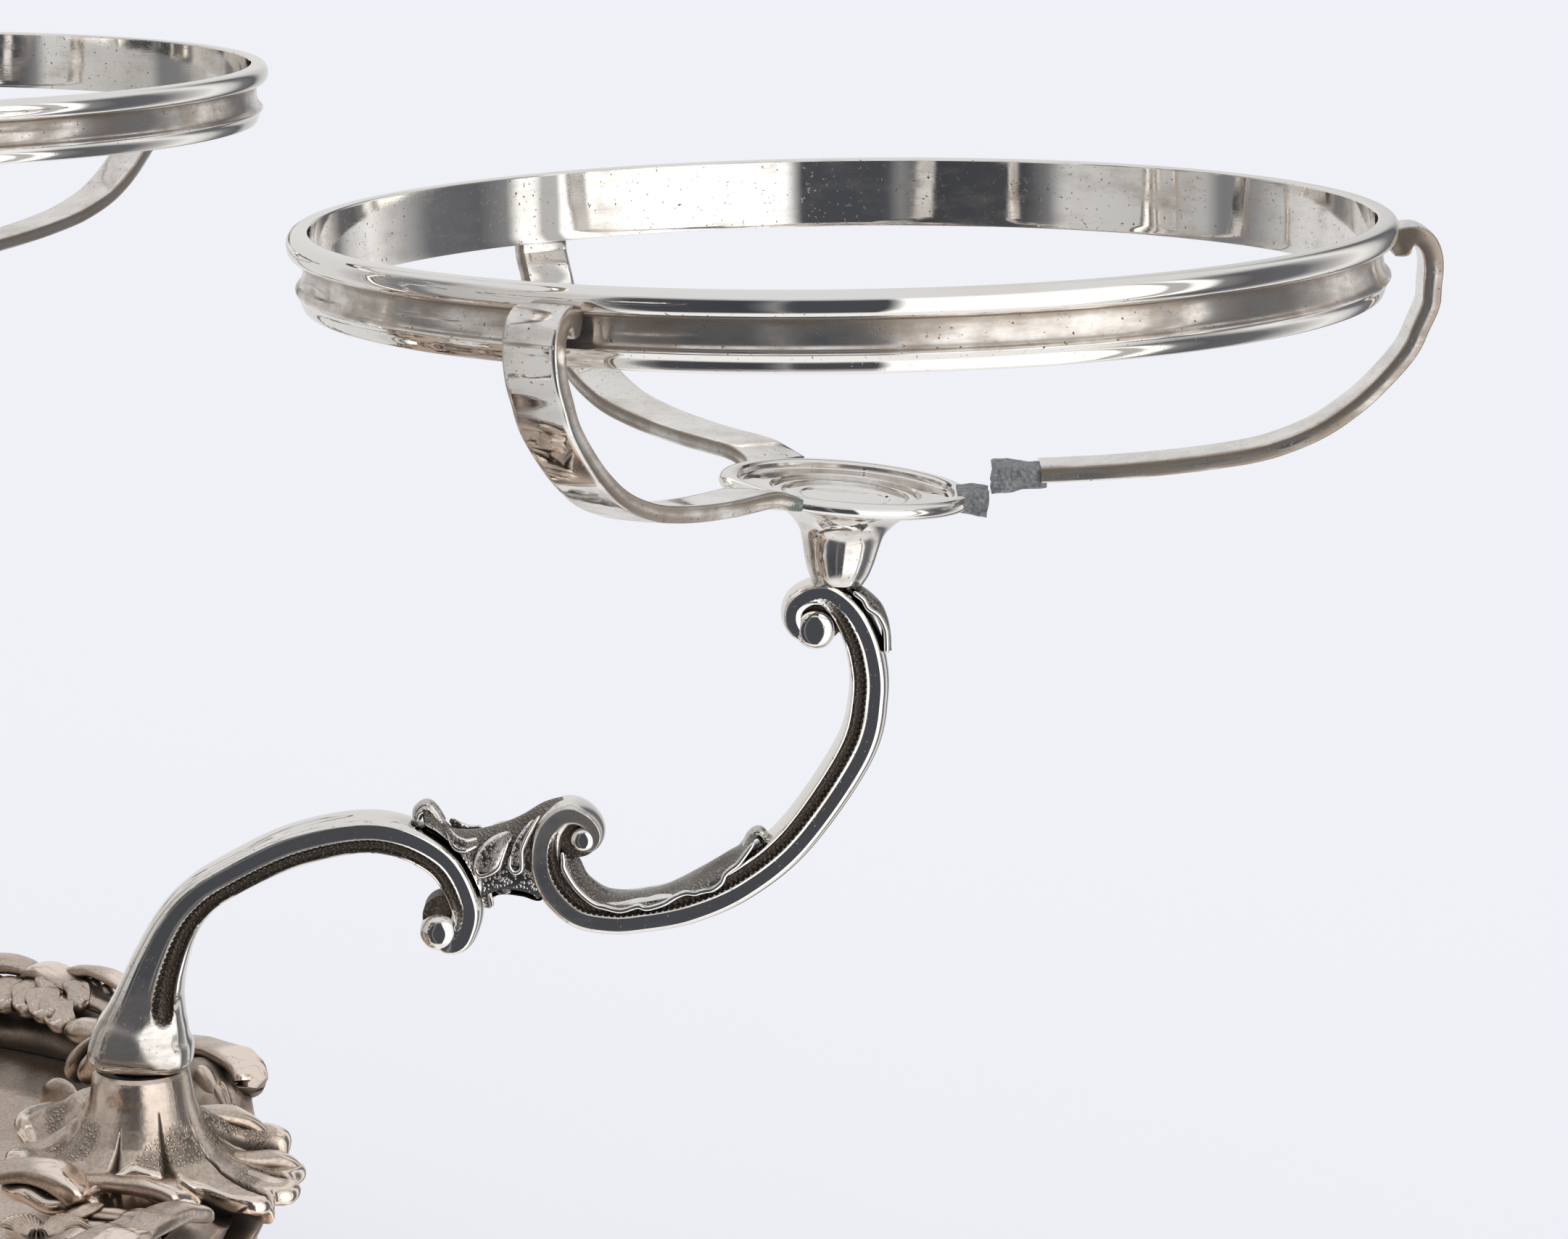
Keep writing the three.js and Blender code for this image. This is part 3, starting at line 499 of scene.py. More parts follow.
def polished_silver(board, place, looks):
    """Bright silver: faint waves, fine scratches, warm stains, tarnish in corners along with painted shade
    that darkens crevices to near black, and punched matting.
    """
    dirt, mat, run = board.measure("dirt"), board.measure("mat"), board.measure("run")
    blotch = board.noise(place, 7, 4, 0.6)
    cloud = board.noise(place, 28, 3, 0.5)
    specks = board.noise(place, 0.55, 2, 0.6)
    # Ambient occlusion, used below to paint shade into crevices and to roughen them
    crevice_shade = board.crevice(3.5)
    streaks = board.noise(board.stretched(place, 1, 1, 5), 11, 4, 0.65)
    # Brown patches follow the mesh's darkening measure: tarnish, and painted shade on the pieces that paint
    # it there
    patches = (dirt * 1.15 + (blotch - 0.5) * 0.8 + (streaks - 0.5) * 0.7).between(0.34, 1.05)
    spots = specks.between(0.66, 0.73) * (dirt + 0.04).between(0.05, 0.5)
    tarnish = patches.larger(spots)
    hairlines = board.noise(board.stretched(place, 1, 1, 26), 6, 4, 0.7)
    cross_lines = board.noise(board.stretched(place, 9, 1, 1), 3, 3, 0.7)
    pits = board.cells(place, 0.5).between(0.22, 0.55)
    base = board.blend(cloud.between(0.45, 0.7) * 0.3, colour(looks.silver), colour(looks.warm_stain))
    base = board.blend(tarnish * looks.tarnish, base, colour(looks.tarnish_brown))
    base = board.blend(mat * 0.8, base, colour(looks.groove_grey))
    green = (board.measure("green") + (specks - 0.5) * 2.2).between(0.5, 1.0)
    base = board.blend(green * 0.8, base, colour(looks.verdigris))
    # Near black for specks and punched pits, and as painted shade where nearby surfaces close in
    specks_pits_and_shade = (spots * 0.75).larger(pits * mat * 0.6).larger(crevice_shade.between(0.45, 0.95) * 0.85)
    base = board.blend(specks_pits_and_shade, base, colour(looks.soot_and_shade))
    scratched = hairlines.between(0.5, 0.8) * 0.05 + cross_lines.between(0.55, 0.8) * 0.05
    rough = looks.polish + 0.22 * tarnish + 0.2 * mat + scratched + crevice_shade.between(0.4, 0.9) * 0.2 + 0.4 * green
    beads = (run * (2 * math.pi / BEAD_PITCH)).sine() * board.measure("bead") * 0.3
    height = beads - pits * mat * 0.16 + hairlines * 0.0016 - spots * 0.012
    height = height + board.noise(place, 16, 1, 0.4) * 0.03 + board.noise(place, 5, 1, 0.4) * 0.012
    dulled = (tarnish * looks.tarnish * 0.35).larger(green * 0.8)
    surface(board, Base_Color=base, Metallic=1.0 - dulled, Roughness=rough, Normal=board.bumps(height))


def tarnished_silver(board, place, looks):
    """Satin base silver: warm grey-brown, rubbed edges painted as near-white coppery highlights, hollows
    painted dark as shade and tarnish, and punched matting.
    """
    dirt, mat, worn = board.measure("dirt"), board.measure("mat"), board.measure("worn")
    blotch = board.noise(place, 9, 4, 0.6)
    grain = board.noise(place, 0.5, 3, 0.7)
    hammered = board.noise(place, 2.2, 2, 0.5)
    # Ambient occlusion, used to paint shade into crevices
    crevice_shade = board.crevice(4.5)
    # Painted shade and tarnish together: the mesh's darkening measure plus ambient occlusion
    hollow = (dirt * 0.75 + crevice_shade * 1.25 + (blotch - 0.5) * 0.4).between(0.35, 1.15)
    # Painted highlight and wear: brighter where the mesh marks rubbed or lit places, away from crevices
    bright = (worn * 1.1 - crevice_shade * 0.9 + (blotch - 0.5) * 0.7 + (grain - 0.5) * 0.3).between(0.3, 0.8)
    pits = board.cells(place, 0.55).between(0.2, 0.55)
    base = board.blend(blotch.between(0.3, 0.7), colour(looks.satin), colour(looks.satin_warm))
    base = board.blend(grain.between(0.35, 0.75) * 0.35, base, colour(looks.soot_and_shade))
    base = board.blend(bright, base, colour(looks.copper_wear_and_highlight))
    # Hollows tinted brown and then near black: tarnish with painted shade
    base = board.blend(hollow.between(0.0, 0.6) * 0.7, base, colour(looks.tarnish_brown))
    base = board.blend((hollow.between(0.35, 1.0) * 0.9).larger(pits * mat * 0.5), base, colour(looks.soot_and_shade))
    height = grain * 0.012 + hammered * 0.09 - pits * mat * 0.16
    rough = 0.29 - 0.17 * bright + 0.2 * hollow + (grain - 0.5) * 0.12
    surface(board, Base_Color=base, Metallic=1.0 - 0.4 * hollow, Roughness=rough, Normal=board.bumps(height))


def lead_solder(board, place, looks):
    """Dull grey solder, torn and crystalline."""
    grain = board.noise(place, 0.6, 5, 0.75)
    facet = board.cells(place, 0.9)
    base = board.blend(grain.between(0.35, 0.7), colour(looks.solder_dark), colour(looks.solder_light))
    bump = board.bumps(grain * 0.1 + facet * 0.06)
    surface(board, Base_Color=base, Metallic=0.75, Roughness=0.5 + 0.2 * grain, Normal=bump)


def turned_steel(board, place, looks):
    """Plain turned steel of the tie rod, washer, nut and studs."""
    lines = board.noise(board.stretched(place, 1, 1, 12), 1.2, 3, 0.6)
    base = board.blend(lines.between(0.35, 0.75), colour(looks.steel), colour(looks.satin))
    rough = 0.3 + 0.15 * lines
    surface(board, Base_Color=base, Metallic=1.0, Roughness=rough, Normal=board.bumps(lines * 0.02))


FINISHES = {
    "polished_silver": ("bright_silver", polished_silver),
    "tarnished_silver": ("satin_silver", tarnished_silver),
    "lead_solder": ("old_solder", lead_solder),
    "turned_steel": ("turned_steel", turned_steel),
}


def finish(slot):
    """The material for that slot, made the first time it is asked for."""
    name, fill = FINISHES[slot]
    made = bpy.data.materials.get(name)
    if made is None:
        made, board, place = new_finish(name)
        fill(board, place, bpy.context.scene.centrepiece_looks)
    return made


# Cradles: ring, straps, cup and solder

# Number of each cradle, None in the middle, with its label
CRADLES = (*((k, str(k + 1)) for k in range(ARM_COUNT)), (None, "middle"))
# Ring's section: mm in from its outer radius, mm from its top
RING_RUNS = (
    [(-3, -5), (-3, -0.35)],
    [(-2.85, -0.08), (-2.6, 0)],
    [(-2, 0.02), (-1.5, 0)],
    [(-0.9, -0.12), (-0.4, -0.5), (-0.08, -1.1), (0, -1.75), (-0.08, -2.4), (-0.4, -2.95),
     (-1, -3.35), (-1.65, -3.45)],
    [(-2, -3.7), (-2.1, -4.6), (-2.05, -5.8), (-1.75, -6.9), (-1.25, -7.45)],
    [(-1, -7.75), (-1.15, -8.05)],
    [(-1.5, -8.6), (-1.8, -9.5), (-2, -10.0)],
    [(-2.2, -10.2), (-2.8, -10.2), (-2.97, -10.12)],
)
# Dirt on the ring's outside by height
RING_DIRT = (
    (-10.2, 0.1), (-8.6, 0.2), (-8.0, 0.3), (-7.4, 0.7), (-6, 0.6), (-4.5, 0.62), (-3.5, 0.95),
    (-3.1, 0.35), (-2.0, 0.05), (0, 0),
)
INNER_WALL_DIRT = 0.38


def ring_skin(radius):
    """Band of revolution: plain wall inside; half-round bead, hollow neck and lower band outside."""
    profile = joined((-3, -10.0), *RING_RUNS)
    darkened = np.interp(profile[:, 1], *zip(*RING_DIRT))
    darkened = np.where(profile[:, 0] > -2.9, darkened, INNER_WALL_DIRT)
    return turned(profile + (radius, 0), 240, closed=True, dirt=darkened)


# Strap from cup to ring: share of the way out to the ring, share of the drop from the ring's top
STRAP_RUN = (
    (-0.004, 1.0), (0.04, 0.978), (0.115, 0.95), (0.303, 0.926), (0.457, 0.899), (0.59, 0.867),
    (0.696, 0.83), (0.812, 0.762), (0.903, 0.67), (0.974, 0.568),
)
# Strap's hook: mm beyond the ring, mm below its top, half thickness outward and inward, half width
STRAP_HOOK = (
    (1.7, 17.2, 1.2, 1.2, 3.9), (3.3, 13.8, 1.25, 1.25, 3.9), (4.6, 10.5, 1.3, 1.3, 3.9),
    (4.85, 6.9, 1.35, 1.35, 3.9), (4.1, 4.5, 1.35, 1.35, 3.9), (2.7, 3.3, 1.25, 1.5, 3.9),
    (1.4, 3.2, 1.2, 2.6, 3.8), (0.2, 3.5, 1.2, 2.8, 3.7), (-1.0, 3.9, 1.1, 2.4, 3.4),
)


def strap_skin(radius, rise, bend=(0, 0, 0), sag=0.0, starts_at=0.0, green=0.0):
    """Flat bar along a plane curve from the cup's rim to the ring, hooked over to a blunt nose on its neck.

    Inward of the ring the curve is shifted by bend times the square of its share of the way in."""
    drop = rise - CUP_HEIGHT + CUP_RIM / 2
    span = radius - CUP_RADIUS
    run = [(CUP_RADIUS + out * span, -down * drop, 1.15, 1.15, 3.9) for out, down in STRAP_RUN]
    run[0] = (*run[0][:2], 0.85, 0.85, 3.9)
    hook = [(radius + out, -down, *sizes) for out, down, *sizes in STRAP_HOOK]
    line = through(run + hook, 130)
    inward = np.clip((radius - line[:, 0]) / span, 0, 1)
    low = np.where(line[:, 1] < -RING_HEIGHT, sag * np.minimum(1, 1.4 * (1 - inward)), 0)
    path = in_plane(line[:, 0], line[:, 1] - low) + inward[:, None] ** 2 * np.asarray(bend)
    kept = path[:, 0] > starts_at
    line, path = line[kept], path[kept]
    outside, inside, half = line[:, 2], line[:, 3], line[:, 4]
    if not starts_at:
        half = half + 0.9 * np.exp(-np.maximum(line[:, 0] - CUP_RADIUS, 0) / 1.5)
    across, depth = oblong((outside + inside) / 2, half, 0.42, 0.07)
    across = across + ((inside - outside) / 2)[:, None]
    grid = carried(path, across, depth, (0, 1, 0))
    side_face = ramp(np.abs(depth) / half[:, None], 0.93, 0.99)
    worn_patch = ramp(uneven(grid, 14), -0.5, 0.6)
    dirt = 0.18 + 0.42 * side_face + 0.3 * worn_patch * (across < 0) + 0.25 * (across > 0)
    return skin(grid, dirt=dirt, green=green * peak(line[:, :1], CUP_RADIUS, 3.0))


def strap_of(k, n):
    """Place and skin of strap n of cradle k; on the front cradle strap 0 is broken and strap 2 corroded."""
    radius, rise = cradle_size(k)
    angle = 360 / STRAP_COUNT * n
    if k != 0:
        made = strap_skin(radius, rise)
    elif n == 0:
        made = strap_skin(radius, rise, sag=FRONT_STRAP_SAG, starts_at=BREAK_RADIUS)
    else:
        angle += STRAP_DRIFTS[n]
        bend = bent_end(angle)
        if n == 1:
            made = strap_skin(radius, rise, bend, sag=FRONT_STRAP_SAG)
        else:
            made = strap_skin(radius, rise, bend - (0, CORRODED_STRAP_SHIFT, 0), green=1.0)
    return ring_place(k) @ turn("z", angle), made


def bent_end(angle):
    """How far the inner end of a whole front strap moved when the ring was bent over its tilted cup."""
    to_strap = turn("z", -angle) @ np.linalg.inv(front_ring_shift())
    level = CUP_HEIGHT - CUP_RIM / 2
    a = math.radians(angle)
    rim = to_strap @ (CUP_RADIUS * math.cos(a), CUP_RADIUS * math.sin(a), level, 1)
    return rim[:3] - (CUP_RADIUS, 0, level - size("cradle_rise"))


def cup_skin():
    """Trumpet stem that flares into a shallow stepped dish, of revolution."""
    outline = joined(
        (2.9, 0),
        [(3.5, 0.1), (3.75, 0.5)],
        [(4.3, 1.6), (4.9, 3.6), (5.3, 5.4), (5.95, 7.4), (7.65, 9.4), (10.2, 10.9), (13.5, 11.8),
         (16.2, 12.1)],
        [(17.1, 12.5), (17.5, 13.2), (17.2, 13.95), (16.5, 14.3), (15.5, 14.25), (14.95, 13.95)],
        [(14.7, 13.3), (14.2, 13.1)],
        [(12.3, 13.05), (10.5, 13.15)],
        [(10.2, 12.75), (9.9, 12.65)],
        [(9.2, 12.7), (8.8, 12.65)],
        [(8.6, 12.35), (8.2, 12.3)],
        [(7, 12.35), (6.3, 12.3)],
        [(6.1, 12.15), (5.5, 12.1), (2, 12.1), (0.3, 12.1)],
    )
    height = outline[:, 1]
    steep = np.isclose(np.gradient(outline[:, 0]), 0, atol=0.12)
    dirt = np.where(steep & (outline[:, 0] < 15.1), 0.6, 0.05)
    dirt = np.where(height < 9, 0.48, dirt)
    return turned(outline, 96, dirt=dirt)


def torn_block(start, end, half_wide, half_high, flare):
    """Broken solder: a rough block along X that flares to a jagged face, pushed about by uneven waves."""
    u = np.linspace(0, 1, 22)
    across, depth = oblong(half_high + flare * u, half_wide + 0.6 * flare * u, 0.5)
    grid = carried(in_plane(start + (end - start) * u, 0 * u), across, depth, (0, 1, 0))
    rough = np.stack([uneven(grid + 9, 1.6), uneven(grid + 40, 1.3), uneven(grid + 80, 1.4)], axis=-1)
    return skin(grid + 0.2 * rough * (0.25 + u[:, None, None] ** 3 * (1.5, 0.9, 0.9)))


# Arm: two opposed scrolls, the leaf that joins them, volutes and peg

# Lower scroll, from the flared foot: shares of reach and rise, half width and half depth of the band
LOWER_SCROLL = (
    (0.0, 0.0, 6.4, 6.0), (0.0, 0.006, 6.85, 6.35), (0.0, 0.018, 7.05, 6.6),
    (0.001, 0.038, 6.95, 6.5), (0.002, 0.06, 6.5, 5.95), (0.005, 0.085, 5.75, 5.1),
    (0.008, 0.112, 5.0, 4.55), (0.013, 0.15, 4.25, 4.3), (0.023, 0.2, 3.6, 4.1),
    (0.043, 0.268, 3.0, 3.85), (0.07, 0.32, 2.65, 3.75), (0.115, 0.368, 2.45, 3.75),
    (0.222, 0.443, 2.5, 3.75), (0.342, 0.477, 2.35, 3.75), (0.434, 0.439, 2.2, 3.75),
    (0.477, 0.358, 2.1, 3.75), (0.4755, 0.3, 1.85, 3.75), (0.4625, 0.2805, 1.45, 3.75),
    (0.4505, 0.279, 1.0, 3.6), (0.4435, 0.2895, 0.6, 3.3),
)
# Upper scroll, from its inner volute to the one under the cup
UPPER_SCROLL = (
    (0.649, 0.482, 0.6, 3.3), (0.6605, 0.4874, 0.85, 3.6), (0.6665, 0.502, 0.95, 3.75),
    (0.6637, 0.518, 0.95, 3.75), (0.6507, 0.5345, 1.05, 3.75), (0.6308, 0.5425, 1.3, 3.75),
    (0.613, 0.535, 1.55, 3.75), (0.596, 0.503, 1.9, 3.75), (0.594, 0.451, 2.2, 3.75),
    (0.611, 0.401, 2.4, 3.75), (0.648, 0.361, 2.4, 3.75), (0.693, 0.352, 2.4, 3.75),
    (0.737, 0.358, 2.4, 3.75), (0.814, 0.384, 2.5, 3.75), (0.892, 0.437, 2.5, 3.75),
    (0.968, 0.53, 2.5, 3.75), (1.043, 0.694, 2.6, 3.75), (1.058, 0.802, 2.5, 3.75),
    (1.048, 0.884, 2.4, 3.75), (1.022, 0.948, 2.2, 3.75), (0.989, 0.984, 1.7, 3.75),
    (0.961, 0.984, 1.35, 3.75), (0.94, 0.963, 1.3, 3.75), (0.9375, 0.936, 1.25, 3.75),
    (0.949, 0.914, 1.0, 3.7), (0.966, 0.906, 0.7, 3.4),
)
# Relief across the band's face, from its convex edge at 0 to its concave edge at 1, with its height in mm
BAND_RELIEF = (
    (0, -0.85), (0.05, -0.42), (0.1, -0.12), (0.15, -0.01), (0.18, 0), (0.52, 0), (0.54, 0.05),
    (0.56, 0.1), (0.58, 0.02), (0.62, -0.42), (0.68, -0.72), (0.77, -0.8), (0.85, -0.7),
    (0.89, -0.42), (0.92, -0.02), (0.95, 0.03), (0.98, -0.08), (1, -0.35),
)
# The same on its concave half where the groove has ended
PLAIN_EDGE = ((0.5, 0.0), (0.68, -0.02), (0.84, -0.12), (0.94, -0.38), (1, -0.85))
# Places of the mesh's points across the face
BAND_STEPS = (
    0, 0.025, 0.05, 0.085, 0.12, 0.16, 0.2, 0.26, 0.32, 0.41, 0.5, 0.53, 0.545, 0.56, 0.57, 0.58,
    0.6, 0.62, 0.65, 0.68, 0.725, 0.77, 0.81, 0.85, 0.87, 0.89, 0.905, 0.92, 0.935, 0.95, 0.98, 1,
)


def band_skin(stations, rows, convex_side, groove):
    """Moulded band that winds along a plane curve, with relief on both faces and faintly crowned edges.

    The groove fades out towards both ends, over the shares of the length that `groove` names. The relief
    grows with the band's width, so that the chamfers of the foot are broad."""
    reach, rise = size("arm_reach"), size("arm_rise")
    line = through([(x * reach, z * rise, *sizes) for x, z, *sizes in stations], rows)
    share = np.linspace(0, 1, rows)[:, None]
    steps = np.asarray(BAND_STEPS)
    relief = np.interp(steps, *zip(*BAND_RELIEF))
    starts, opens, closes, ends = groove
    rounded = 0.03 * ((steps - 0.75) / 0.17) ** 2
    open_groove = ramp(share - rounded, starts, opens) * (1 - ramp(share + rounded, closes, ends))
    plain = np.interp(steps, *zip(*PLAIN_EDGE))
    height = np.where(steps > 0.5, plain + (relief - plain) * open_groove, relief)
    half, deep = line[:, 2:3], line[:, 3:4]
    height = height * (half / 2.4) ** 0.8
    height = height - 3.6 * ramp(half, 3.6, 6.8) * np.clip(steps - 0.35, 0, None) ** 2
    face = (2 * steps - 1) * half
    edge = np.linspace(-1, 1, 7)[1:-1]
    out = deep + height
    across = np.hstack([face, half + 0.22 * (1 - edge ** 2), face[:, ::-1], -half - 0.35 * (1 - edge ** 2)])
    depth = np.hstack([out, -out[:, -1:] * edge, -out[:, ::-1], out[:, :1] * edge])

    def on_both_faces(value, on_convex_edge=0.0):
        plain_edge = np.zeros((rows, len(edge)))
        return np.hstack([value, plain_edge + on_convex_edge, value[:, ::-1], plain_edge])

    in_groove = rise_and_fall(steps, 0.57, 0.63, 0.88, 0.915) * open_groove
    bead_row = rise_and_fall(steps, 0.57, 0.6, 0.65, 0.69) * open_groove
    soil = 0.22 + 0.78 * in_groove + 0.3 * (ramp(steps, 0.5, 0.54) - ramp(steps, 0.56, 0.6)) * open_groove
    soil = soil + 0.4 * (1 - ramp(share, 0.06, 0.3))
    gone = np.linalg.norm(np.diff(line[:, :2], axis=0), axis=1).cumsum()
    grid = carried(in_plane(line[:, 0], line[:, 1]), -convex_side * across, depth, (0, 1, 0))
    return skin(grid, mat=on_both_faces(in_groove), dirt=on_both_faces(soil, 0.1),
                bead=on_both_faces(bead_row), run=np.append(0, gone)[:, None])


def button_skin(x, z, profile, dirt=0.2, mat=0.0):
    """Volute's eye: a knob turned about Y, the same on both faces."""
    profile = through(profile, 3 * len(profile))
    outline = np.vstack([profile * (1, -1), profile[::-1]])
    even = np.ones(len(outline))
    knob = turned(outline, 40, dirt=dirt * even, mat=mat * even)
    return placed(move(x * size("arm_reach"), 0, z * size("arm_rise")) @ turn("x", 90), knob)[0]


def leaf_skin(edge, crest, half_depth, flutes, flute_depth, rim, rise=1.0):
    """Leaf draped over a scroll's edge: at angle t from 0 to pi it lies at y = -D cos t, and a share
    sin(t)^rise of the way from the edge line to the crest line. Flutes run along it; its rims are rolled."""
    rows = 70
    low, high = through(edge, rows), through(crest, rows)
    t = np.linspace(0, np.pi, 48)
    u = np.linspace(0, 1, rows)[:, None]
    ends = blunt(u, 10)
    wave = np.cos(2 * flutes * (t + 0.25 * np.sin(2 * np.pi * u)))
    near_rim = np.exp(-np.minimum(t, np.pi - t) / 0.07)
    out = high - low
    outward = out / np.linalg.norm(out, axis=1, keepdims=True)
    flute = flute_depth * wave * np.sin(t) ** 0.5 * ends
    place = low[:, None] + out[:, None] * (np.sin(t) ** rise)[:, None]
    place = place + outward[:, None] * (flute + rim * near_rim)[..., None]
    y = -np.cos(t) * (half_depth * (0.35 + 0.65 * ends)) * (1 + 0.05 * near_rim)
    front = np.stack([place[..., 0], y, place[..., 1]], axis=-1)
    inner = low - 0.6 * outward
    across = np.linspace(0.9, -0.9, 9) * y[:, :1]
    under = np.stack(np.broadcast_arrays(inner[:, None, 0], across, inner[:, None, 1]), axis=-1)
    inside = np.zeros((rows, across.shape[1]))
    mat = np.hstack([(1 - near_rim) * (np.sin(t) > 0.05) + 0 * u, inside])
    # Flute troughs a little darker and the rims lighter; the face beneath painted dark as shade
    dirt = np.hstack([0.3 + 0.35 * (0.5 - 0.5 * wave) * np.sin(t) - 0.2 * near_rim, inside + 0.6])
    return skin(np.hstack([front, under]), dirt=dirt, mat=0.85 * mat)


def rib_skins(points, flat, rimmed=False, steps=10, soil=1.0):
    """Two like round ribs of a leaf, on its front and its back, through points (x, z, y, radius).

    The section is flattened to `flat` of its width. A rimmed rib has a matted crown and bright sides."""
    v = circle(28 if rimmed else 16)
    crown = rimmed * (1 - ramp(np.abs(np.cos(v)), 0.5, 0.75))
    dirt = 0.45 * crown if rimmed else soil * np.clip(-0.2 - np.sin(v), 0, 1)
    made = []
    for side in (-1, 1):
        path = [(x, side * y, z, radius) for x, z, y, radius in points]
        line = through(path, steps * (len(path) - 1), places=3)
        radius = (line[:, 3] * blunt(np.linspace(0.004, 0.996, len(line)), 22))[:, None]
        grid = carried(line[:, :3], radius * np.cos(v), flat * radius * np.sin(v), (0, side, 0))
        made.append(skin(grid, mat=0.8 * crown, dirt=dirt, worn=np.clip(0.75 * np.sin(v), 0, 1)))
    return made


# Leaves in the arm's frame, millimetres: the edge line near the faces and the crest line in the middle
JOINING_EDGE = (
    (38.0, 37.6), (40.2, 36.9), (43.0, 34.6), (45.0, 31.6), (46.8, 28.6), (49.5, 29.4),
    (52.3, 29.3), (54.9, 28.9), (56.6, 31.5),
)
JOINING_CREST = (
    (37.4, 40.0), (39.0, 39.6), (41.3, 37.3), (43.5, 36.9), (45.6, 37.1), (48.8, 38.1),
    (51.5, 39.5), (54.2, 41.4), (57.0, 42.6),
)
INNER_EDGE = (
    (57.5, 35.7), (57.7, 34.5), (57.9, 33.3), (59.4, 31.0), (61.1, 29.4), (62.6, 28.5),
    (64.0, 28.2), (65.7, 27.9), (66.8, 28.1), (68.4, 28.7), (69.6, 28.5), (71.0, 28.9),
    (72.3, 29.5), (73.7, 30.5), (75.0, 31.1), (76.2, 31.1), (77.3, 31.5), (78.7, 31.9),
    (79.8, 32.9), (80.2, 34.0), (81.0, 34.9), (81.9, 35.7), (83.0, 37.4), (83.9, 38.9),
)
INNER_CREST = (
    (59.0, 35.2), (60.0, 33.6), (61.3, 31.5), (64.3, 29.7), (67.5, 29.7), (71.2, 30.5),
    (74.4, 32.0), (77.1, 33.8), (80.2, 36.0), (82.5, 37.6), (83.3, 39.3), (84.2, 39.9),
    (85.1, 39.7),
)
TOP_EDGE = (
    (95.1, 75.1), (96.5, 74.2), (97.3, 73.0), (98.8, 72.0), (99.8, 70.4), (100.1, 69.0),
    (100.3, 66.9),
)
TOP_CREST = ((96.4, 75.3), (98.4, 73.9), (99.4, 72.9), (100.4, 70.9), (100.9, 68.7), (101.1, 66.7))
# Lobes of the joining leaf: x, z, distance from the middle plane, radius
LEAF_LOBES = (
    ((50.2, 37.6, 2.9, 0.6), (48.6, 36.2, 3.7, 1.4), (47.5, 34.4, 3.9, 1.9),
     (46.9, 32.9, 3.7, 1.6), (46.8, 32.0, 3.2, 0.9)),
    ((53.4, 39.6, 2.6, 0.5), (52.0, 37.2, 3.4, 0.8), (51.2, 35.0, 3.6, 0.9), (51.1, 33.2, 3.4, 0.8)),
    ((41.4, 37.6, 2.9, 0.4), (42.6, 36.4, 3.7, 0.7), (44.2, 35.9, 3.9, 0.8), (45.8, 36.4, 3.4, 0.6)),
    ((46.2, 31.2, 2.3, 0.8), (47.2, 28.8, 2.6, 0.9), (47.8, 26.6, 2.3, 0.7)),
    ((52.0, 31.6, 2.2, 0.5), (53.6, 30.2, 2.7, 0.75), (54.9, 28.7, 2.6, 0.7)),
    ((48.2, 30.6, 2.3, 0.7), (49.2, 29.4, 2.6, 0.7), (50.6, 29.6, 2.5, 0.6)),
)
# Bright rims of those lobes, in the same terms
LEAF_RIMS = (
    ((49.9, 36.6, 3.6, 0.2), (49.2, 34.4, 4.2, 0.3), (48.7, 32.9, 4.2, 0.34),
     (47.4, 31.9, 4.1, 0.34), (46.2, 31.6, 3.9, 0.32), (45.6, 32.7, 3.7, 0.3),
     (46.0, 34.2, 3.7, 0.2)),
    ((54.0, 40.4, 2.8, 0.2), (52.7, 38.0, 3.6, 0.28), (51.9, 35.8, 3.9, 0.32),
     (51.95, 34.0, 3.9, 0.32), (51.9, 32.7, 3.8, 0.34), (51.0, 32.3, 3.8, 0.34),
     (50.3, 33.2, 3.8, 0.3), (50.4, 34.8, 3.8, 0.2)),
    ((45.7, 35.7, 3.6, 0.2), (44.2, 35.1, 3.9, 0.34), (42.9, 35.2, 3.8, 0.4),
     (42.1, 36.0, 3.6, 0.36), (41.6, 37.0, 3.2, 0.25)),
)
# Curled tips of the joining and the inner leaf: x, z, half thickness
LEAF_TIP = (
    (36.9, 38.2, 0.5), (37.1, 39.3, 0.65), (38.1, 40.0, 0.8), (39.1, 39.4, 0.75),
    (40.3, 37.9, 0.6),
)
INNER_TIP = (
    (82.9, 37.4, 0.45), (83.5, 38.9, 0.55), (84.5, 39.5, 0.7), (85.3, 38.8, 0.6),
    (85.6, 37.5, 0.5),
)

# Half profiles of the volutes' eyes and of the webs behind them: radius, distance from the middle plane
SMALL_EYE = ((0.2, 4.15), (0.9, 4.14), (1.5, 4.0), (2.1, 3.65), (2.5, 3.1), (2.7, 2.4), (2.72, 0.4))
BALL_EYE = (
    (0.15, 3.95), (0.8, 3.92), (1.25, 3.78), (1.6, 3.45), (1.84, 2.95), (1.95, 2.2), (1.95, 0.4),
)
LARGE_EYE = (
    (0.2, 3.98), (1.2, 3.95), (1.9, 3.84), (2.3, 3.6), (2.65, 3.15), (2.8, 2.5), (2.8, 0.4),
)
WEB = ((0.2, 2.4), (1.0, 2.4), (2.0, 2.35), (2.9, 2.2), (3.0, 1.8), (3.0, 0.4))


# Eyes of the volutes, as shares of reach and rise with their profile, and the matted webs behind them
EYES = ((0.4415, 0.302, SMALL_EYE), (0.649, 0.4973, BALL_EYE), (0.9715, 0.922, LARGE_EYE))
WEBS = ((0.64, 0.5), (0.98, 0.94), (0.447, 0.33))


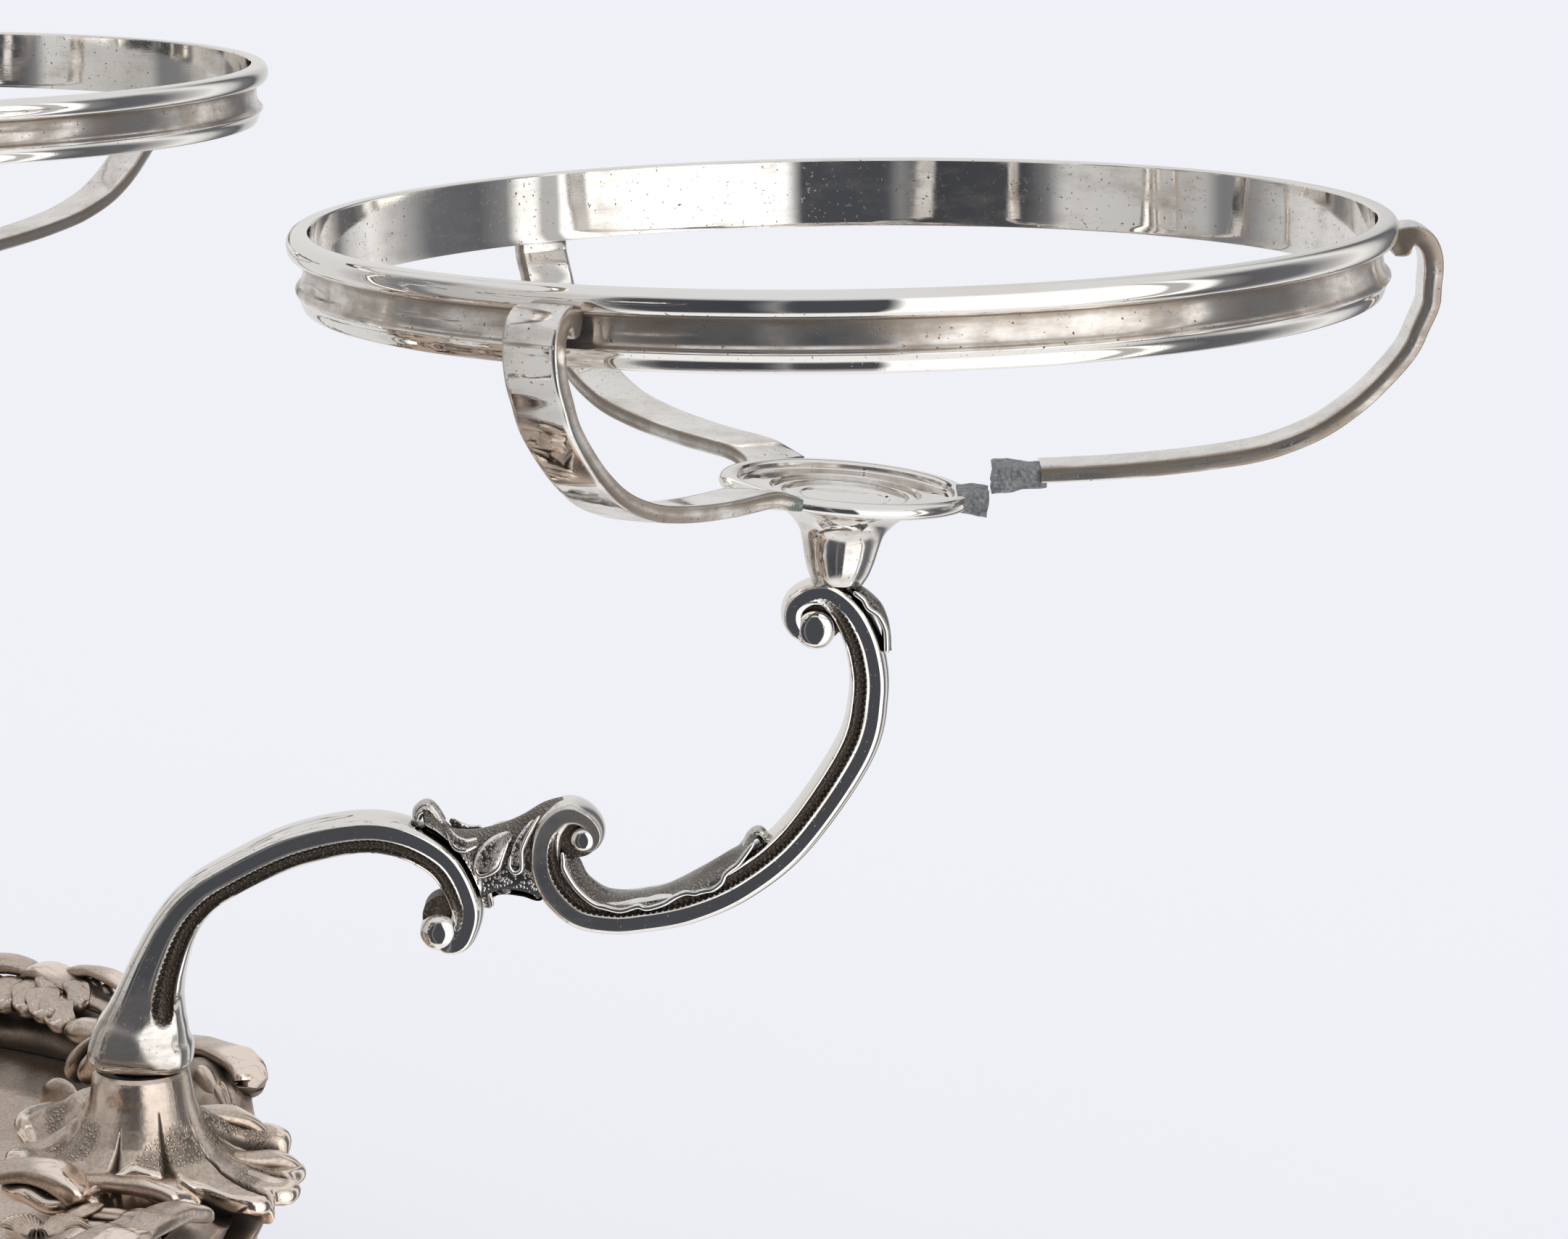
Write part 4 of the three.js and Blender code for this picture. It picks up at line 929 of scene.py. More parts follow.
def arm_skins():
    """All of one arm in its own frame: X outward and Z up from the middle of the foot's underside."""
    ribs = []
    for points in LEAF_LOBES:
        ribs += rib_skins(points, 0.6, rimmed=True)
    for points in LEAF_RIMS:
        ribs += rib_skins(points, 1.0)
    for edge, proud, radius in ((INNER_EDGE, 3.9, 0.42), (TOP_EDGE, 3.3, 0.4)):
        ribs += rib_skins([(x, z, proud, radius) for x, z in edge], 1.0, steps=7, soil=0.0)
    tips = []
    for points in (LEAF_TIP, INNER_TIP):
        line = through(points, 30)
        across, depth = oblong(line[:, 2], 1.5, 0.42, 0.2)
        grid = carried(in_plane(line[:, 0], line[:, 1]), across, depth, (0, 1, 0))
        tips.append(skin(grid, dirt=0.3, mat=0.3))
    return [
        band_skin(LOWER_SCROLL, rows=200, convex_side=1, groove=(0.085, 0.1, 0.86, 0.97)),
        band_skin(UPPER_SCROLL, rows=280, convex_side=-1, groove=(0.1, 0.14, 0.86, 0.93)),
        *(button_skin(x, z, profile) for x, z, profile in EYES),
        *(button_skin(x, z, WEB, dirt=1.0, mat=1.0) for x, z in WEBS),
        leaf_skin(JOINING_EDGE, JOINING_CREST, 3.1, flutes=2, flute_depth=0.22, rim=0.25, rise=0.7),
        leaf_skin(INNER_EDGE, INNER_CREST, 4.05, flutes=2, flute_depth=0.14, rim=0.35),
        leaf_skin(TOP_EDGE, TOP_CREST, 3.2, flutes=1, flute_depth=0.1, rim=0.3),
        *ribs,
        *tips,
        turned([(2.3, -12), (2.6, -11.7), (3.2, 0.5)], 24, dirt=[0.6, 0.6, 0.6]),
    ]


# Base: body, plate, feet, leaf-bell sockets and cast borders

def drawn_in(points, inner=78.0, width=12.0, draw=0.03):
    """Pulls the outline in between the arms by draw * (1 - cos 4a) / 2 of its radius, beyond the ledge."""
    reach = np.hypot(points[..., 0], points[..., 1])
    angle = np.arctan2(points[..., 1], points[..., 0])
    share = np.clip((reach - inner) / width, None, 1)
    scale = 1 - 0.5 * draw * (1 - np.cos(ARM_COUNT * angle)) * share
    return points * np.stack([scale, scale, np.ones_like(scale)], axis=-1)


def body_skin():
    """Open hollow body, of revolution: rolled top edge, hollow cavetto, rounded lip and thin wall."""
    outer = joined(
        (78, 31.6),
        [(78, 33.0), (78.2, 33.2)],
        [(84, 33.2), (89.2, 33.2)],
        [(89.9, 32.9), (90.0, 32.3), (89.6, 31.7)],
        [(88.5, 30.6), (88.2, 27.1), (88.5, 23.5), (89.5, 20.3), (91.4, 16.9), (94.5, 14.3)],
        [(95.2, 14.0), (95.3, 13.2)],
        [(97.2, 12.6), (98.5, 11.4), (99.0, 9.8), (98.9, 8.4), (98.6, 8.05)],
        [(97.8, 8.0), (97.1, 8.1)],
        [(96.6, 10.6), (92.6, 13.6), (89.0, 17.3), (87.0, 22), (86.6, 27), (86.8, 31.4)],
        [(82, 31.6), (78.1, 31.6)],
    )
    height = outer[:, 1]
    inside = np.arange(len(outer)) > 0.72 * len(outer)
    # Darker in the cavetto under the rolled top edge, in the groove at 13.9 mm and all over the inside
    darkened = 0.25 + 0.55 * peak(height, 29, 3.0) + 0.4 * (np.abs(height - 13.9) < 0.4)
    dirt = np.where(inside, 0.75, darkened)
    # Brighter along the rolled lip at 12 mm and the top edge at 33 mm: painted highlight on the rolls, with
    # wear
    worn = np.where(inside, 0, peak(height, 12, 1.6) + peak(height, 33, 0.5))
    points, faces, values = turned(outer, 288, closed=True, dirt=dirt, worn=worn)
    return drawn_in(points), faces, values


def plate_skin():
    """Smooth dished plate: level rim, a soft step down to the well, very slightly uneven."""
    outline = joined(
        (3.2, 32.45),
        [(30, 32.45), (62, 32.45)],
        [(65, 32.8), (68, 33.5)],
        [(76, 33.5), (84.7, 33.5)],
        [(85.0, 33.9), (85.0, 34.6), (84.7, 35.0)],
        [(76, 35.0), (68, 35.0), (66, 34.75), (64, 34.15), (62, 33.92), (40, 33.9), (3.2, 33.9)],
    )
    dirt = np.where(outline[:, 1] > 33.7, 0.12, 0.6)
    points, faces, values = turned(outline, 240, closed=True, dirt=dirt)
    points[:, 2] += 0.05 * uneven(points, 45)
    return points, faces, values


# Scroll of one foot: mm out from its toe, height, half thickness
FOOT_SCROLL = (
    (-12.5, 6.6, 1.0), (-14, 4.6, 1.6), (-12.2, 3.1, 2.2), (-8, 2.95, 2.45), (-4, 3.05, 2.4),
    (-2.2, 4.5, 2.1), (-3.8, 5.8, 1.8),
)


def base_foot_skins():
    """Cast scroll bracket with its toe rolled up, and the block on it that carries the body's lip."""
    line = through([(FOOT_TOE + out, z, half) for out, z, half in FOOT_SCROLL], 60)
    across, depth = oblong(line[:, 2], 8.3, 0.7, 0.3)
    grid = carried(in_plane(line[:, 0], line[:, 1]), across, depth, (0, 1, 0))
    bracket = skin(grid, dirt=0.4, worn=0.5 * (np.abs(depth) < 7.8))
    rows = 12
    across, depth = oblong(np.full(rows, 7.2), 2.05, 0.5)
    path = in_plane(np.linspace(FOOT_TOE - 13.5, FOOT_TOE - 0.9, rows), np.full(rows, 5.6))
    return [bracket, skin(carried(path, across, depth, (0, 0, 1)), dirt=0.6)]


# Half outline of the bell mount's leaves: degrees from straight outward, share of the spread
SOCKET_LEAVES = (
    (0, 0.9), (5, 0.99), (11, 1.02), (17, 1.0), (21, 0.88), (26, 0.97), (31, 0.98), (36, 0.95),
    (41, 0.8), (46, 0.66), (62, 0.52), (90, 0.47), (112, 0.56), (124, 0.74), (133, 0.8),
    (142, 0.86), (150, 0.9), (157, 0.9), (163, 0.86), (169, 0.72), (174, 0.82), (180, 0.86),
)
# Radius of the full spread
SOCKET_SPREAD = 21.3
# Radius at which the leaves start on the bell, and the degrees through which their rims roll under
COLLAR_RADIUS = 6.35
LEAF_CURL = 165
# Bell's section below the leaves: radius and height
BELL = (
    (5.2, 19.4), (6.35, 19.4), (6.8, 18.8), (7.0, 17.5), (7.3, 15.2), (8.0, 12.7), (9.1, 10.1),
    (10.8, 7.7), (13.0, 6.0), (15.4, 4.9), (18, 4.1), (21, 3.6), (24, 3.6),
)
# V cuts of the bell: angle, where they start and end as shares of the way out, half width in mm at the end
CUTS = (
    (-105, 0.3, 0.95, 1.3), (105, 0.3, 0.95, 1.3), (-64, 0.14, 1.1, 1.4), (62, 0.16, 1.1, 1.2),
    (-27, 0.1, 0.98, 1.1), (22, 0.1, 0.98, 0.9), (-3, 0.2, 0.96, 0.8), (13, 0.35, 0.8, 0.5),
)
CUT_DEPTH = 2.1
# Places where the leaves stand higher and roll over: angle, half width in degrees, rise in mm
RAISED = ((33, 11, 3.4), (150, 19, 6.8), (-177, 11, 3.4), (-150, 14, 2.0))
# Rolled leaf ends of the bell: places with half width and half thickness, in mm from the socket's middle
ROLLED_ENDS = (
    ((12, 1.4, 5.6, 1.3, 0.9), (15.5, 2.6, 4.9, 1.7, 1.1), (18.6, 3.9, 4.2, 2.0, 1.3),
     (20.3, 4.6, 3.0, 2.1, 1.3), (20.4, 4.6, 1.7, 2.0, 1.1)),
    ((12, -1.8, 5.0, 1.2, 0.9), (15.8, -2.9, 3.7, 1.6, 1.1), (19.0, -3.9, 2.6, 1.8, 1.3),
     (20.8, -4.3, 1.7, 1.8, 1.2), (21.3, -4.4, 0.9, 1.6, 0.9)),
    ((6, 6.2, 10.5, 1.6, 0.8), (9.2, 8.6, 9.8, 2.9, 1.0), (12.4, 10.2, 8.6, 3.3, 1.2),
     (14.3, 11.2, 6.6, 3.3, 1.4), (14.4, 11.4, 4.4, 3.1, 1.3)),
)


def socket_skins():
    """Bell that spreads from a round collar into leaves, with V cuts, and the rolled ends of its leaves.

    At angle a and share s of the way out, r = collar + (reach(a) - collar) s and
    z = bell(r) + rise(a) ramp(s), less each cut's depth, which falls to nothing at the cut's half width."""
    count = 360
    angle = circle(count) - np.pi
    degrees = np.degrees(angle)
    reach = SOCKET_SPREAD * np.interp(np.abs(degrees), *zip(*SOCKET_LEAVES))
    reach = sum(np.roll(reach, k) for k in range(-3, 4)) / 7
    s = np.linspace(0, 1, 60)[:, None] ** 0.9
    r = COLLAR_RADIUS + (reach - COLLAR_RADIUS) * s
    lifted = 0 * angle
    for centre, wide, rise in RAISED:
        apart = (degrees - centre + 180) % 360 - 180
        lifted = lifted + rise * np.exp(-(apart / wide) ** 4)
    z = np.interp(r, *zip(*BELL)) + lifted * ramp(s, 0.0, 0.4)
    cut_shade = 0 * z
    for centre, starts, ends, half in CUTS:
        apart = np.abs((degrees - centre + 180) % 360 - 180)
        open_to = np.clip((s - starts) / (ends - starts), 0, 1)
        open_to = open_to * (1 - ramp(s, ends, ends + 0.08)) if ends < 1 else open_to
        into = np.clip(1 - np.radians(apart) * r / (half * open_to + 0.02), 0, 1)
        z = z - CUT_DEPTH * into * open_to ** 0.6
        cut_shade = np.maximum(cut_shade, into * ramp(open_to, 0, 0.2))
    far = ramp(r, 8.6, 15)
    flat_place = round_grid(r, angle, 0 * z)
    z = z + 0.2 * uneven(flat_place, 9) * far + 0.1 * uneven(flat_place + 30, 3.5) * far
    curl = np.linspace(0, 1, 11)[1:, None] * np.radians(LEAF_CURL)
    tuck = 1.3 + 0.12 * lifted
    roll_r = reach + tuck * np.sin(curl)
    roll_z = z[-1:] - tuck * (1 - np.cos(curl))
    last_r, last_z = roll_r[-1:], roll_z[-1:]
    under_r = np.vstack([last_r - 1.2, last_r * [[0.82], [0.72], [0.7]]])
    under_z = np.vstack([last_z - 0.1, np.maximum(last_z - 0.3, 0.5), 0 * last_z + 0.3, 0 * last_z])
    bore = np.ones((3, count))
    all_r = np.vstack([bore * [[3.9], [3.9], [4.9]], r, roll_r, under_r])
    all_z = np.vstack([bore * [[8.0], [18.6], [19.4]], z, roll_z, under_z])
    grid = round_grid(all_r, angle, all_z)
    edge_band = ramp(s, 0.93, 1.0)
    rows = rise_and_fall(z, 7.2, 8.2, 12.2, 13.6) + rise_and_fall(r, 14.5, 16, 18, 19.5)
    # Painted highlight on the collar and along the leaves' edges outside the cuts, with wear on those edges;
    # the rolled ends and underside take it too
    shine = 0.45 * (1 - ramp(r, 7.0, 10)) + 0.8 * edge_band * (1 - cut_shade)

    def with_ends(value, below):
        return np.vstack([0 * bore, value, np.full((len(roll_r) + len(under_r), count), below)])

    # The V cuts painted dark as shade, and the outer leaves a little darker away from their edges
    dirt = with_ends(1.4 * cut_shade + 0.3 * far * (1 - edge_band), 0.3)
    mat = with_ends(rows * (1 - cut_shade), 0.0) * ramp(uneven(grid, 6), -0.35, 0.25)
    bell = skin(grid, dirt=dirt, mat=mat, worn=with_ends(shine, 0.8))
    return [bell, *(bar_skin(points) for points in ROLLED_ENDS)]


def bar_skin(points):
    """Flat bar with soft corners through points (x, y, z, half width, half thickness), its ends rounded.

    At angle v its section is (sign cos v |cos v|^0.6, sign sin v |sin v|^0.75)."""
    line = through(points, 11 * (len(points) - 1), places=3)
    u = np.linspace(0, 1, len(line))[:, None]
    v = circle(32)
    c, s = np.cos(v), np.sin(v)
    fade = blunt(np.clip(u, 0.004, 0.996), 24)
    across = line[:, 3:4] * fade * np.sign(c) * np.abs(c) ** 0.6
    depth = line[:, 4:5] * fade * np.sign(s) * np.abs(s) ** 0.75
    grid = carried(line[:, :3], across, depth, (0, 0, 1))
    grid = grid + 0.1 * uneven(grid, 4)[..., None] * (0.3, 0.3, 1)
    # Lighter on top towards the rolled end, for wear and as a painted highlight; darker underneath as painted
    # shade, and at its start
    worn = (0.25 + 0.75 * ramp(u, 0.45, 0.75)) * np.maximum(s, 0.4) * ramp(s, -0.6, 0.1)
    return skin(grid, dirt=0.75 * np.clip(-s, 0, 1) + 0.2 * (1 - ramp(u, 0, 0.3)), worn=worn)


def flower_skin(x, y, z, radius):
    """Five cupped petals round a stamened heart, at angle a and share s of the way out.

    r = R s (0.7 + 0.3 |cos 2.5 a|^0.7) at the rim, and the petals rise and fall with s."""
    count = 300
    angle = circle(count)
    petal = np.abs(np.cos(2.5 * angle))
    s = np.linspace(0.02, 1, 36)[:, None]
    r = radius * s * (1 - ramp(s, 0.3, 0.9) * 0.3 * (1 - petal ** 0.7))
    cup = 1.6 * ramp(s, 0.12, 0.6) - 1.6 * ramp(s, 0.65, 1.0) + 0.6
    fold = -1.4 * (1 - petal) ** 2 * ramp(s, 0.25, 0.7)
    veined = ramp(s, 0.3, 0.5)
    heart = 1.2 * (1 - ramp(s, 0.1, 0.18)) * (0.7 + 0.3 * np.cos(10 * angle))
    height = z + cup + fold + 0.09 * np.cos(60 * angle) * veined + heart
    all_r = np.vstack([r, np.array([[1.0], [0.6], [0.3]]) * r[-1:]])
    all_z = np.vstack([height, np.array([[-1.2], [-2.4], [-3.0]]) + z + 0 * height[-1:]])
    # Darker in the folds between petals, along the veins and at the heart, and the underside painted dark as
    # shade; petal ridges lighter for wear and as a painted highlight
    darkened = 0.75 * (1 - petal) ** 1.5 + 0.5 * (0.5 - 0.5 * np.cos(60 * angle)) * veined
    dirt = np.vstack([darkened + (1 - ramp(s, 0.15, 0.3)) * 0.6, np.full((3, count), 0.7)])
    worn = np.vstack([0.9 * petal * ramp(s, 0.45, 0.7), np.zeros((3, count))])
    return skin(round_grid(all_r, angle, all_z) + (x, y, 0), dirt=dirt, worn=worn)


# Section of the border's ground: share of the way from its foot to its edge, share of its height
GROUND = (
    (0, 0), (0.02, 0.35), (0.1, 0.6), (0.22, 0.8), (0.36, 0.95), (0.5, 1.0), (0.64, 0.97),
    (0.76, 0.84), (0.86, 0.68), (0.94, 0.58), (0.985, 0.45), (1.0, 0.25), (0.97, 0), (0.5, 0),
    (0.03, 0),
)


def edge_moulding():
    """Low moulded ground of one border: a quarter ring, its height a cosine that is highest at mid length."""
    angle = np.radians(np.linspace(2, 88, 110))[:, None]
    half = math.pi / ARM_COUNT
    offset = angle - half
    swell = np.cos(offset / half * 0.5 * math.pi)
    edge = 96.5 - 10 * (0.5 - 0.5 * np.cos(offset / half * math.pi))
    foot = 80.5 + 2.5 * swell
    high = 8.5 * (0.3 + 0.4 * swell)
    share, rise = np.array(GROUND).T
    grid = round_grid(foot + share * (edge - foot), angle, ORNAMENT_BOTTOM + rise * high)
    away = np.hypot(grid[..., 0] - size("socket_circle"), grid[..., 1])
    other = np.hypot(grid[..., 0], grid[..., 1] - size("socket_circle"))
    near = 1 - ramp(np.minimum(away, other), 17, 23)
    grid[..., 2] = ORNAMENT_BOTTOM + (grid[..., 2] - ORNAMENT_BOTTOM) * (1 - 0.9 * near)
    grid[..., 2] += 0.5 * uneven(grid, 6) * (rise > 0.3) * (1 - near)
    # Dark all over with uneven tone, darkest at the foot beneath the leaves: painted shadow under the
    # garland; the crest a little brighter
    darkened = 0.65 + 0.25 * uneven(grid, 5) + (1 - ramp(share, 0.05, 0.4))
    return skin(grid, dirt=darkened, worn=0.3 * (rise > 0.9))


# Leaf garland of the border: x and y of the root and of the curled tip, height of the tip and half width
GARLAND = (
    ((31.0, 83.0), (29.8, 74.0), 41.4, 2.7),
    ((34.6, 81.6), (34.0, 72.0), 42.2, 2.8),
    ((38.2, 79.6), (38.3, 70.4), 42.4, 2.9),
    ((41.4, 77.8), (42.4, 67.8), 42.6, 2.7),
    ((44.6, 76.0), (46.0, 65.4), 42.6, 2.9),
    ((47.8, 73.8), (49.4, 63.0), 42.4, 2.7),
    ((50.4, 71.4), (52.6, 60.4), 41.6, 2.7),
    ((46.4, 76.2), (49.6, 68.6), 43.4, 2.0),
    ((50.6, 73.4), (53.6, 66.4), 43.2, 2.0),
)
# Smooth scrolls of the border: places with half width and half thickness
SCROLLS = (
    ((62.0, 63.5, 40.5, 2.0, 1.0), (59.4, 67.4, 42.6, 2.8, 1.15), (56.4, 70.4, 43.5, 3.2, 1.25),
     (53.4, 72.8, 44.4, 3.4, 1.3), (50.4, 75.0, 45.4, 3.3, 1.35), (47.4, 76.8, 46.1, 3.0, 1.3),
     (44.8, 78.2, 45.6, 2.4, 1.2), (43.2, 78.4, 44.0, 1.9, 1.1), (43.6, 77.2, 42.6, 1.5, 0.9)),
    ((46.4, 77.6, 45.2, 1.6, 1.0), (43.6, 79.0, 46.0, 2.4, 1.2), (40.6, 80.5, 46.4, 2.9, 1.3),
     (36.6, 82.3, 46.0, 3.0, 1.3), (32.0, 84.0, 44.4, 2.7, 1.2), (28.0, 84.6, 42.2, 2.0, 1.0)),
    ((49.6, 77.6, 45.4, 1.0, 0.9), (52.4, 75.6, 46.6, 1.5, 0.9), (55.6, 73.2, 47.1, 1.7, 0.9),
     (58.6, 70.8, 46.9, 1.7, 0.9), (61.4, 68.0, 45.6, 1.5, 0.9), (63.0, 65.4, 43.6, 1.2, 0.8)),
    ((68.0, 60.0, 38.8, 1.8, 1.0), (72.2, 57.0, 40.4, 2.3, 1.1), (76.4, 51.4, 41.5, 2.7, 1.2),
     (80.2, 45.2, 42.1, 2.9, 1.3), (82.8, 40.4, 41.8, 2.8, 1.4), (83.6, 38.6, 39.8, 2.6, 1.4),
     (82.4, 40.0, 37.8, 2.2, 1.2)),
    ((8.6, 46.5, 41.0, 2.4, 1.1), (8.9, 53.0, 42.0, 2.8, 1.3), (9.6, 58.0, 42.8, 3.0, 1.5),
     (10.6, 61.4, 42.6, 3.1, 1.7), (11.6, 64.2, 41.4, 3.1, 1.9), (12.2, 66.0, 39.6, 3.0, 1.9),
     (12.6, 66.2, 37.8, 2.8, 1.6)),
    ((8.6, 65.0, 41.0, 2.2, 1.1), (9.6, 69.4, 41.4, 2.9, 1.3), (10.2, 74.0, 41.2, 3.2, 1.5),
     (10.7, 77.4, 40.4, 3.2, 1.7), (11.2, 79.4, 39.0, 3.1, 1.8), (11.8, 79.8, 37.4, 2.9, 1.6)),
)
# Buds and petals: middle, direction, length, width, thickness, ribs along it and their depth
PETALS = (
    ((57.0, 56.2, 42.6), (0.62, -0.72, 0.15), 12.5, 6.4, 5.0, 0, 0),
    ((57.4, 49.9, 40.2), (0.3, -0.35, 0.88), 9.6, 8.4, 3.4, 0, 0),
    ((59.6, 47.2, 40.4), (0.3, -0.35, 0.85), 8.6, 8.0, 3.0, 0, 0),
    ((54.8, 38.6, 38.0), (0.45, -0.6, 0.3), 12.0, 3.4, 6.4, 0, 0),
    ((76.8, 39.4, 38.2), (0.35, -0.75, 0.1), 14.0, 3.6, 9.4, 0, 0),
    ((80.0, 33.6, 38.0), (0.3, -0.8, -0.1), 11.0, 3.2, 8.0, 11, 0.1),
    ((82.0, 28.6, 37.6), (0.1, -0.8, 0.1), 7.0, 2.6, 5.6, 9, 0.1),
    ((71.5, 50.5, 38.2), (1.0, -0.5, 0.1), 11.0, 8.0, 3.4, 0, 0),
    ((16.5, 71.0, 38.0), (0.5, 1.0, 0.1), 12.0, 5.0, 3.6, 5, 0.2),
    ((19.5, 76.0, 38.2), (0.35, 1.0, -0.1), 9.0, 7.0, 5.0, 12, 0.12),
    ((20.5, 69.0, 37.6), (0.2, 1.0, 0.1), 11.0, 6.0, 3.4, 6, 0.2),
    ((15.8, 66.4, 38.6), (-0.4, 1.0, 0.3), 7.0, 4.0, 2.4, 0, 0),
    ((27.0, 74.5, 38.6), (0.7, 1.0, 0.1), 13.0, 7.5, 5.2, 9, 0.12),
)


# Rise of a garland leaf over its straight line, by share of its length
LEAF_RISES = ((0, 1.4), (0.25, 1.9), (0.55, 1.2), (0.8, 0.2), (0.93, 0.25), (1.0, 1.1))


def garland_leaf(root, tip, height, half):
    """One leaf of the garland: it swells from its root, arches over, and its scalloped tip curls up.

    Half width = half sin(pi (0.16 + 0.7 u))^0.8 (1 + 0.04 cos 16 u); the midrib is sunk by a fifth."""
    (x0, y0), (x1, y1) = root, tip
    bend = uneven(np.array([x1, y1, height]), 3)
    points = [(x0 + (x1 - x0) * u + 1.1 * bend * math.sin(math.pi * u), y0 + (y1 - y0) * u,
               height + 1.1 * rise) for u, rise in LEAF_RISES]
    line = through(points, 46, places=3)
    u = np.linspace(0, 1, len(line))[:, None]
    v = circle(28)
    c, s = np.cos(v), np.sin(v)
    fade = blunt(np.clip(u, 0.005, 0.995), 20)
    across = half * np.sin(np.pi * (0.16 + 0.7 * u)) ** 0.8 * (1 + 0.04 * np.cos(16 * u)) * fade * c
    midrib = peak(v, np.pi / 2, 0.3) * rise_and_fall(u, 0.08, 0.3, 0.8, 0.95)
    veins = 0.05 * np.cos(30 * (u - 0.25 * np.abs(c))) * s * ramp(u, 0.1, 0.3)
    raised_edge = 0.7 * ramp(np.abs(c), 0.6, 1.0) * ramp(u, 0.1, 0.4)
    depth = 1.05 * fade * (s - 0.2 * midrib + veins) + raised_edge
    # Curled tip and raised edges painted bright for wear and as highlights; underside painted dark as shade,
    # midrib and root darker
    lip = ramp(u, 0.84, 0.95) * ramp(s, -0.6, 0.1) + 0.5 * ramp(np.abs(c), 0.8, 1) * ramp(s, -0.1, 0.2)
    dirt = 0.9 * np.clip(-s, 0, 1) + 0.3 * midrib + 0.5 * (1 - ramp(u, 0, 0.3))
    return skin(carried(line, across, depth, (0, 0, 1)), dirt=dirt * (1 - lip), worn=lip)


# Flower's middle and radius, and the line of beads beside it
FLOWER = (26, 62, 38.0, 9.5)
BEAD_LINE = ((51.6, 76.0, 44.4), (54.4, 73.8, 44.8), (57.2, 71.6, 44.4), (59.6, 69.4, 43.4))


def border_skins():
    """One border between two arms: ground, flower, smooth scrolls, leaf garland, buds, petals and beads."""
    skins = [edge_moulding(), flower_skin(*FLOWER)]
    skins += [bar_skin(points) for points in SCROLLS]
    skins += [garland_leaf(*leaf) for leaf in GARLAND]
    skins += [bud(*petal) for petal in PETALS]
    skins += [bud(place, (0.6, -0.5, -1.0), 3.6, 2.2, 2.2) for place in through(BEAD_LINE, 5, places=3)]
    return skins


# Column above its foot's rim: shares of its foot's radius and of its height
COLUMN_RUNS = (
    ((1, 0.012), (0.97, 0.02)),
    ((0.8, 0.04), (0.55, 0.062), (0.42, 0.09), (0.34, 0.12), (0.3, 0.15)),
    ((0.345, 0.158), (0.36, 0.17), (0.345, 0.182), (0.3, 0.19)),
    ((0.32, 0.22), (0.4, 0.27), (0.52, 0.33), (0.6, 0.38), (0.62, 0.44), (0.56, 0.49), (0.46, 0.54),
     (0.34, 0.61), (0.26, 0.68), (0.225, 0.76), (0.22, 0.82)),
    ((0.3, 0.836), (0.32, 0.85), (0.3, 0.864), (0.24, 0.88)),
    ((0.245, 0.92), (0.28, 0.96), (0.27, 0.985), (0.24, 1)),
)


def column_skin():
    """Turned baluster on a spreading foot, of revolution, with dirt in the two creases of its neck."""
    h, r = size("column_height"), size("column_radius")
    runs = [[(out * r, up * h) for out, up in run] for run in COLUMN_RUNS]
    outline = joined((3.2, 0), [(r - 0.6, 0), (r, 0.5)], *runs, [(0.12 * r, h), (1.6, h)])
    up = outline[:, 1] / h
    dirt = 0.12 + 0.5 * (np.abs(up - 0.19) < 0.006) + 0.5 * (np.abs(up - 0.15) < 0.006)
    points, faces, values = turned(outline, 128, dirt=dirt)
    return points + (0, 0, COLUMN_BOTTOM), faces, values


# Settings that a user would change

def length_setting(label, text, millimetres):
    return bpy.props.FloatProperty(name=label, description=text, default=millimetres * MM, min=MM,
                                   subtype="DISTANCE", unit="LENGTH", precision=4)


def colour_setting(label, text, value):
    return bpy.props.FloatVectorProperty(name=label, description=text, default=value, size=3,
                                         min=0, max=1, subtype="COLOR")


def share_setting(label, text, value):
    return bpy.props.FloatProperty(name=label, description=text, default=value, min=0, max=1,
                                   subtype="FACTOR")


class CentrepieceSizes(bpy.types.PropertyGroup):
    """Main sizes of the object; each must stay true to the solids that it dresses."""

    socket_circle: length_setting("Socket circle", "Radius of the circle on which the sockets stand", 73.0)
    arm_reach: length_setting("Arm reach", "From the foot's middle outward to the cradle's axis", 92.9)
    arm_rise: length_setting("Arm rise", "Height of the arm over its foot", 75.3)
    cup_seat: length_setting("Cup seat", "Height of the cup's underside over the arm's foot", 75.6)
    cradle_rise: length_setting("Cradle rise", "Height of a side ring's top over its cup's foot", 50.2)
    middle_rise: length_setting("Middle rise", "Height of the middle ring's top over its cup's foot", 56.0)
    ring_radius: length_setting("Ring radius", "Outer radius of the side rings", 75.0)
    middle_ring_radius: length_setting("Middle ring radius", "Outer radius of the middle ring", 100.0)
    column_height: length_setting("Column height", "Height of the turned column", 175.4)
    column_radius: length_setting("Column radius", "Radius of the column's foot", 27.0)


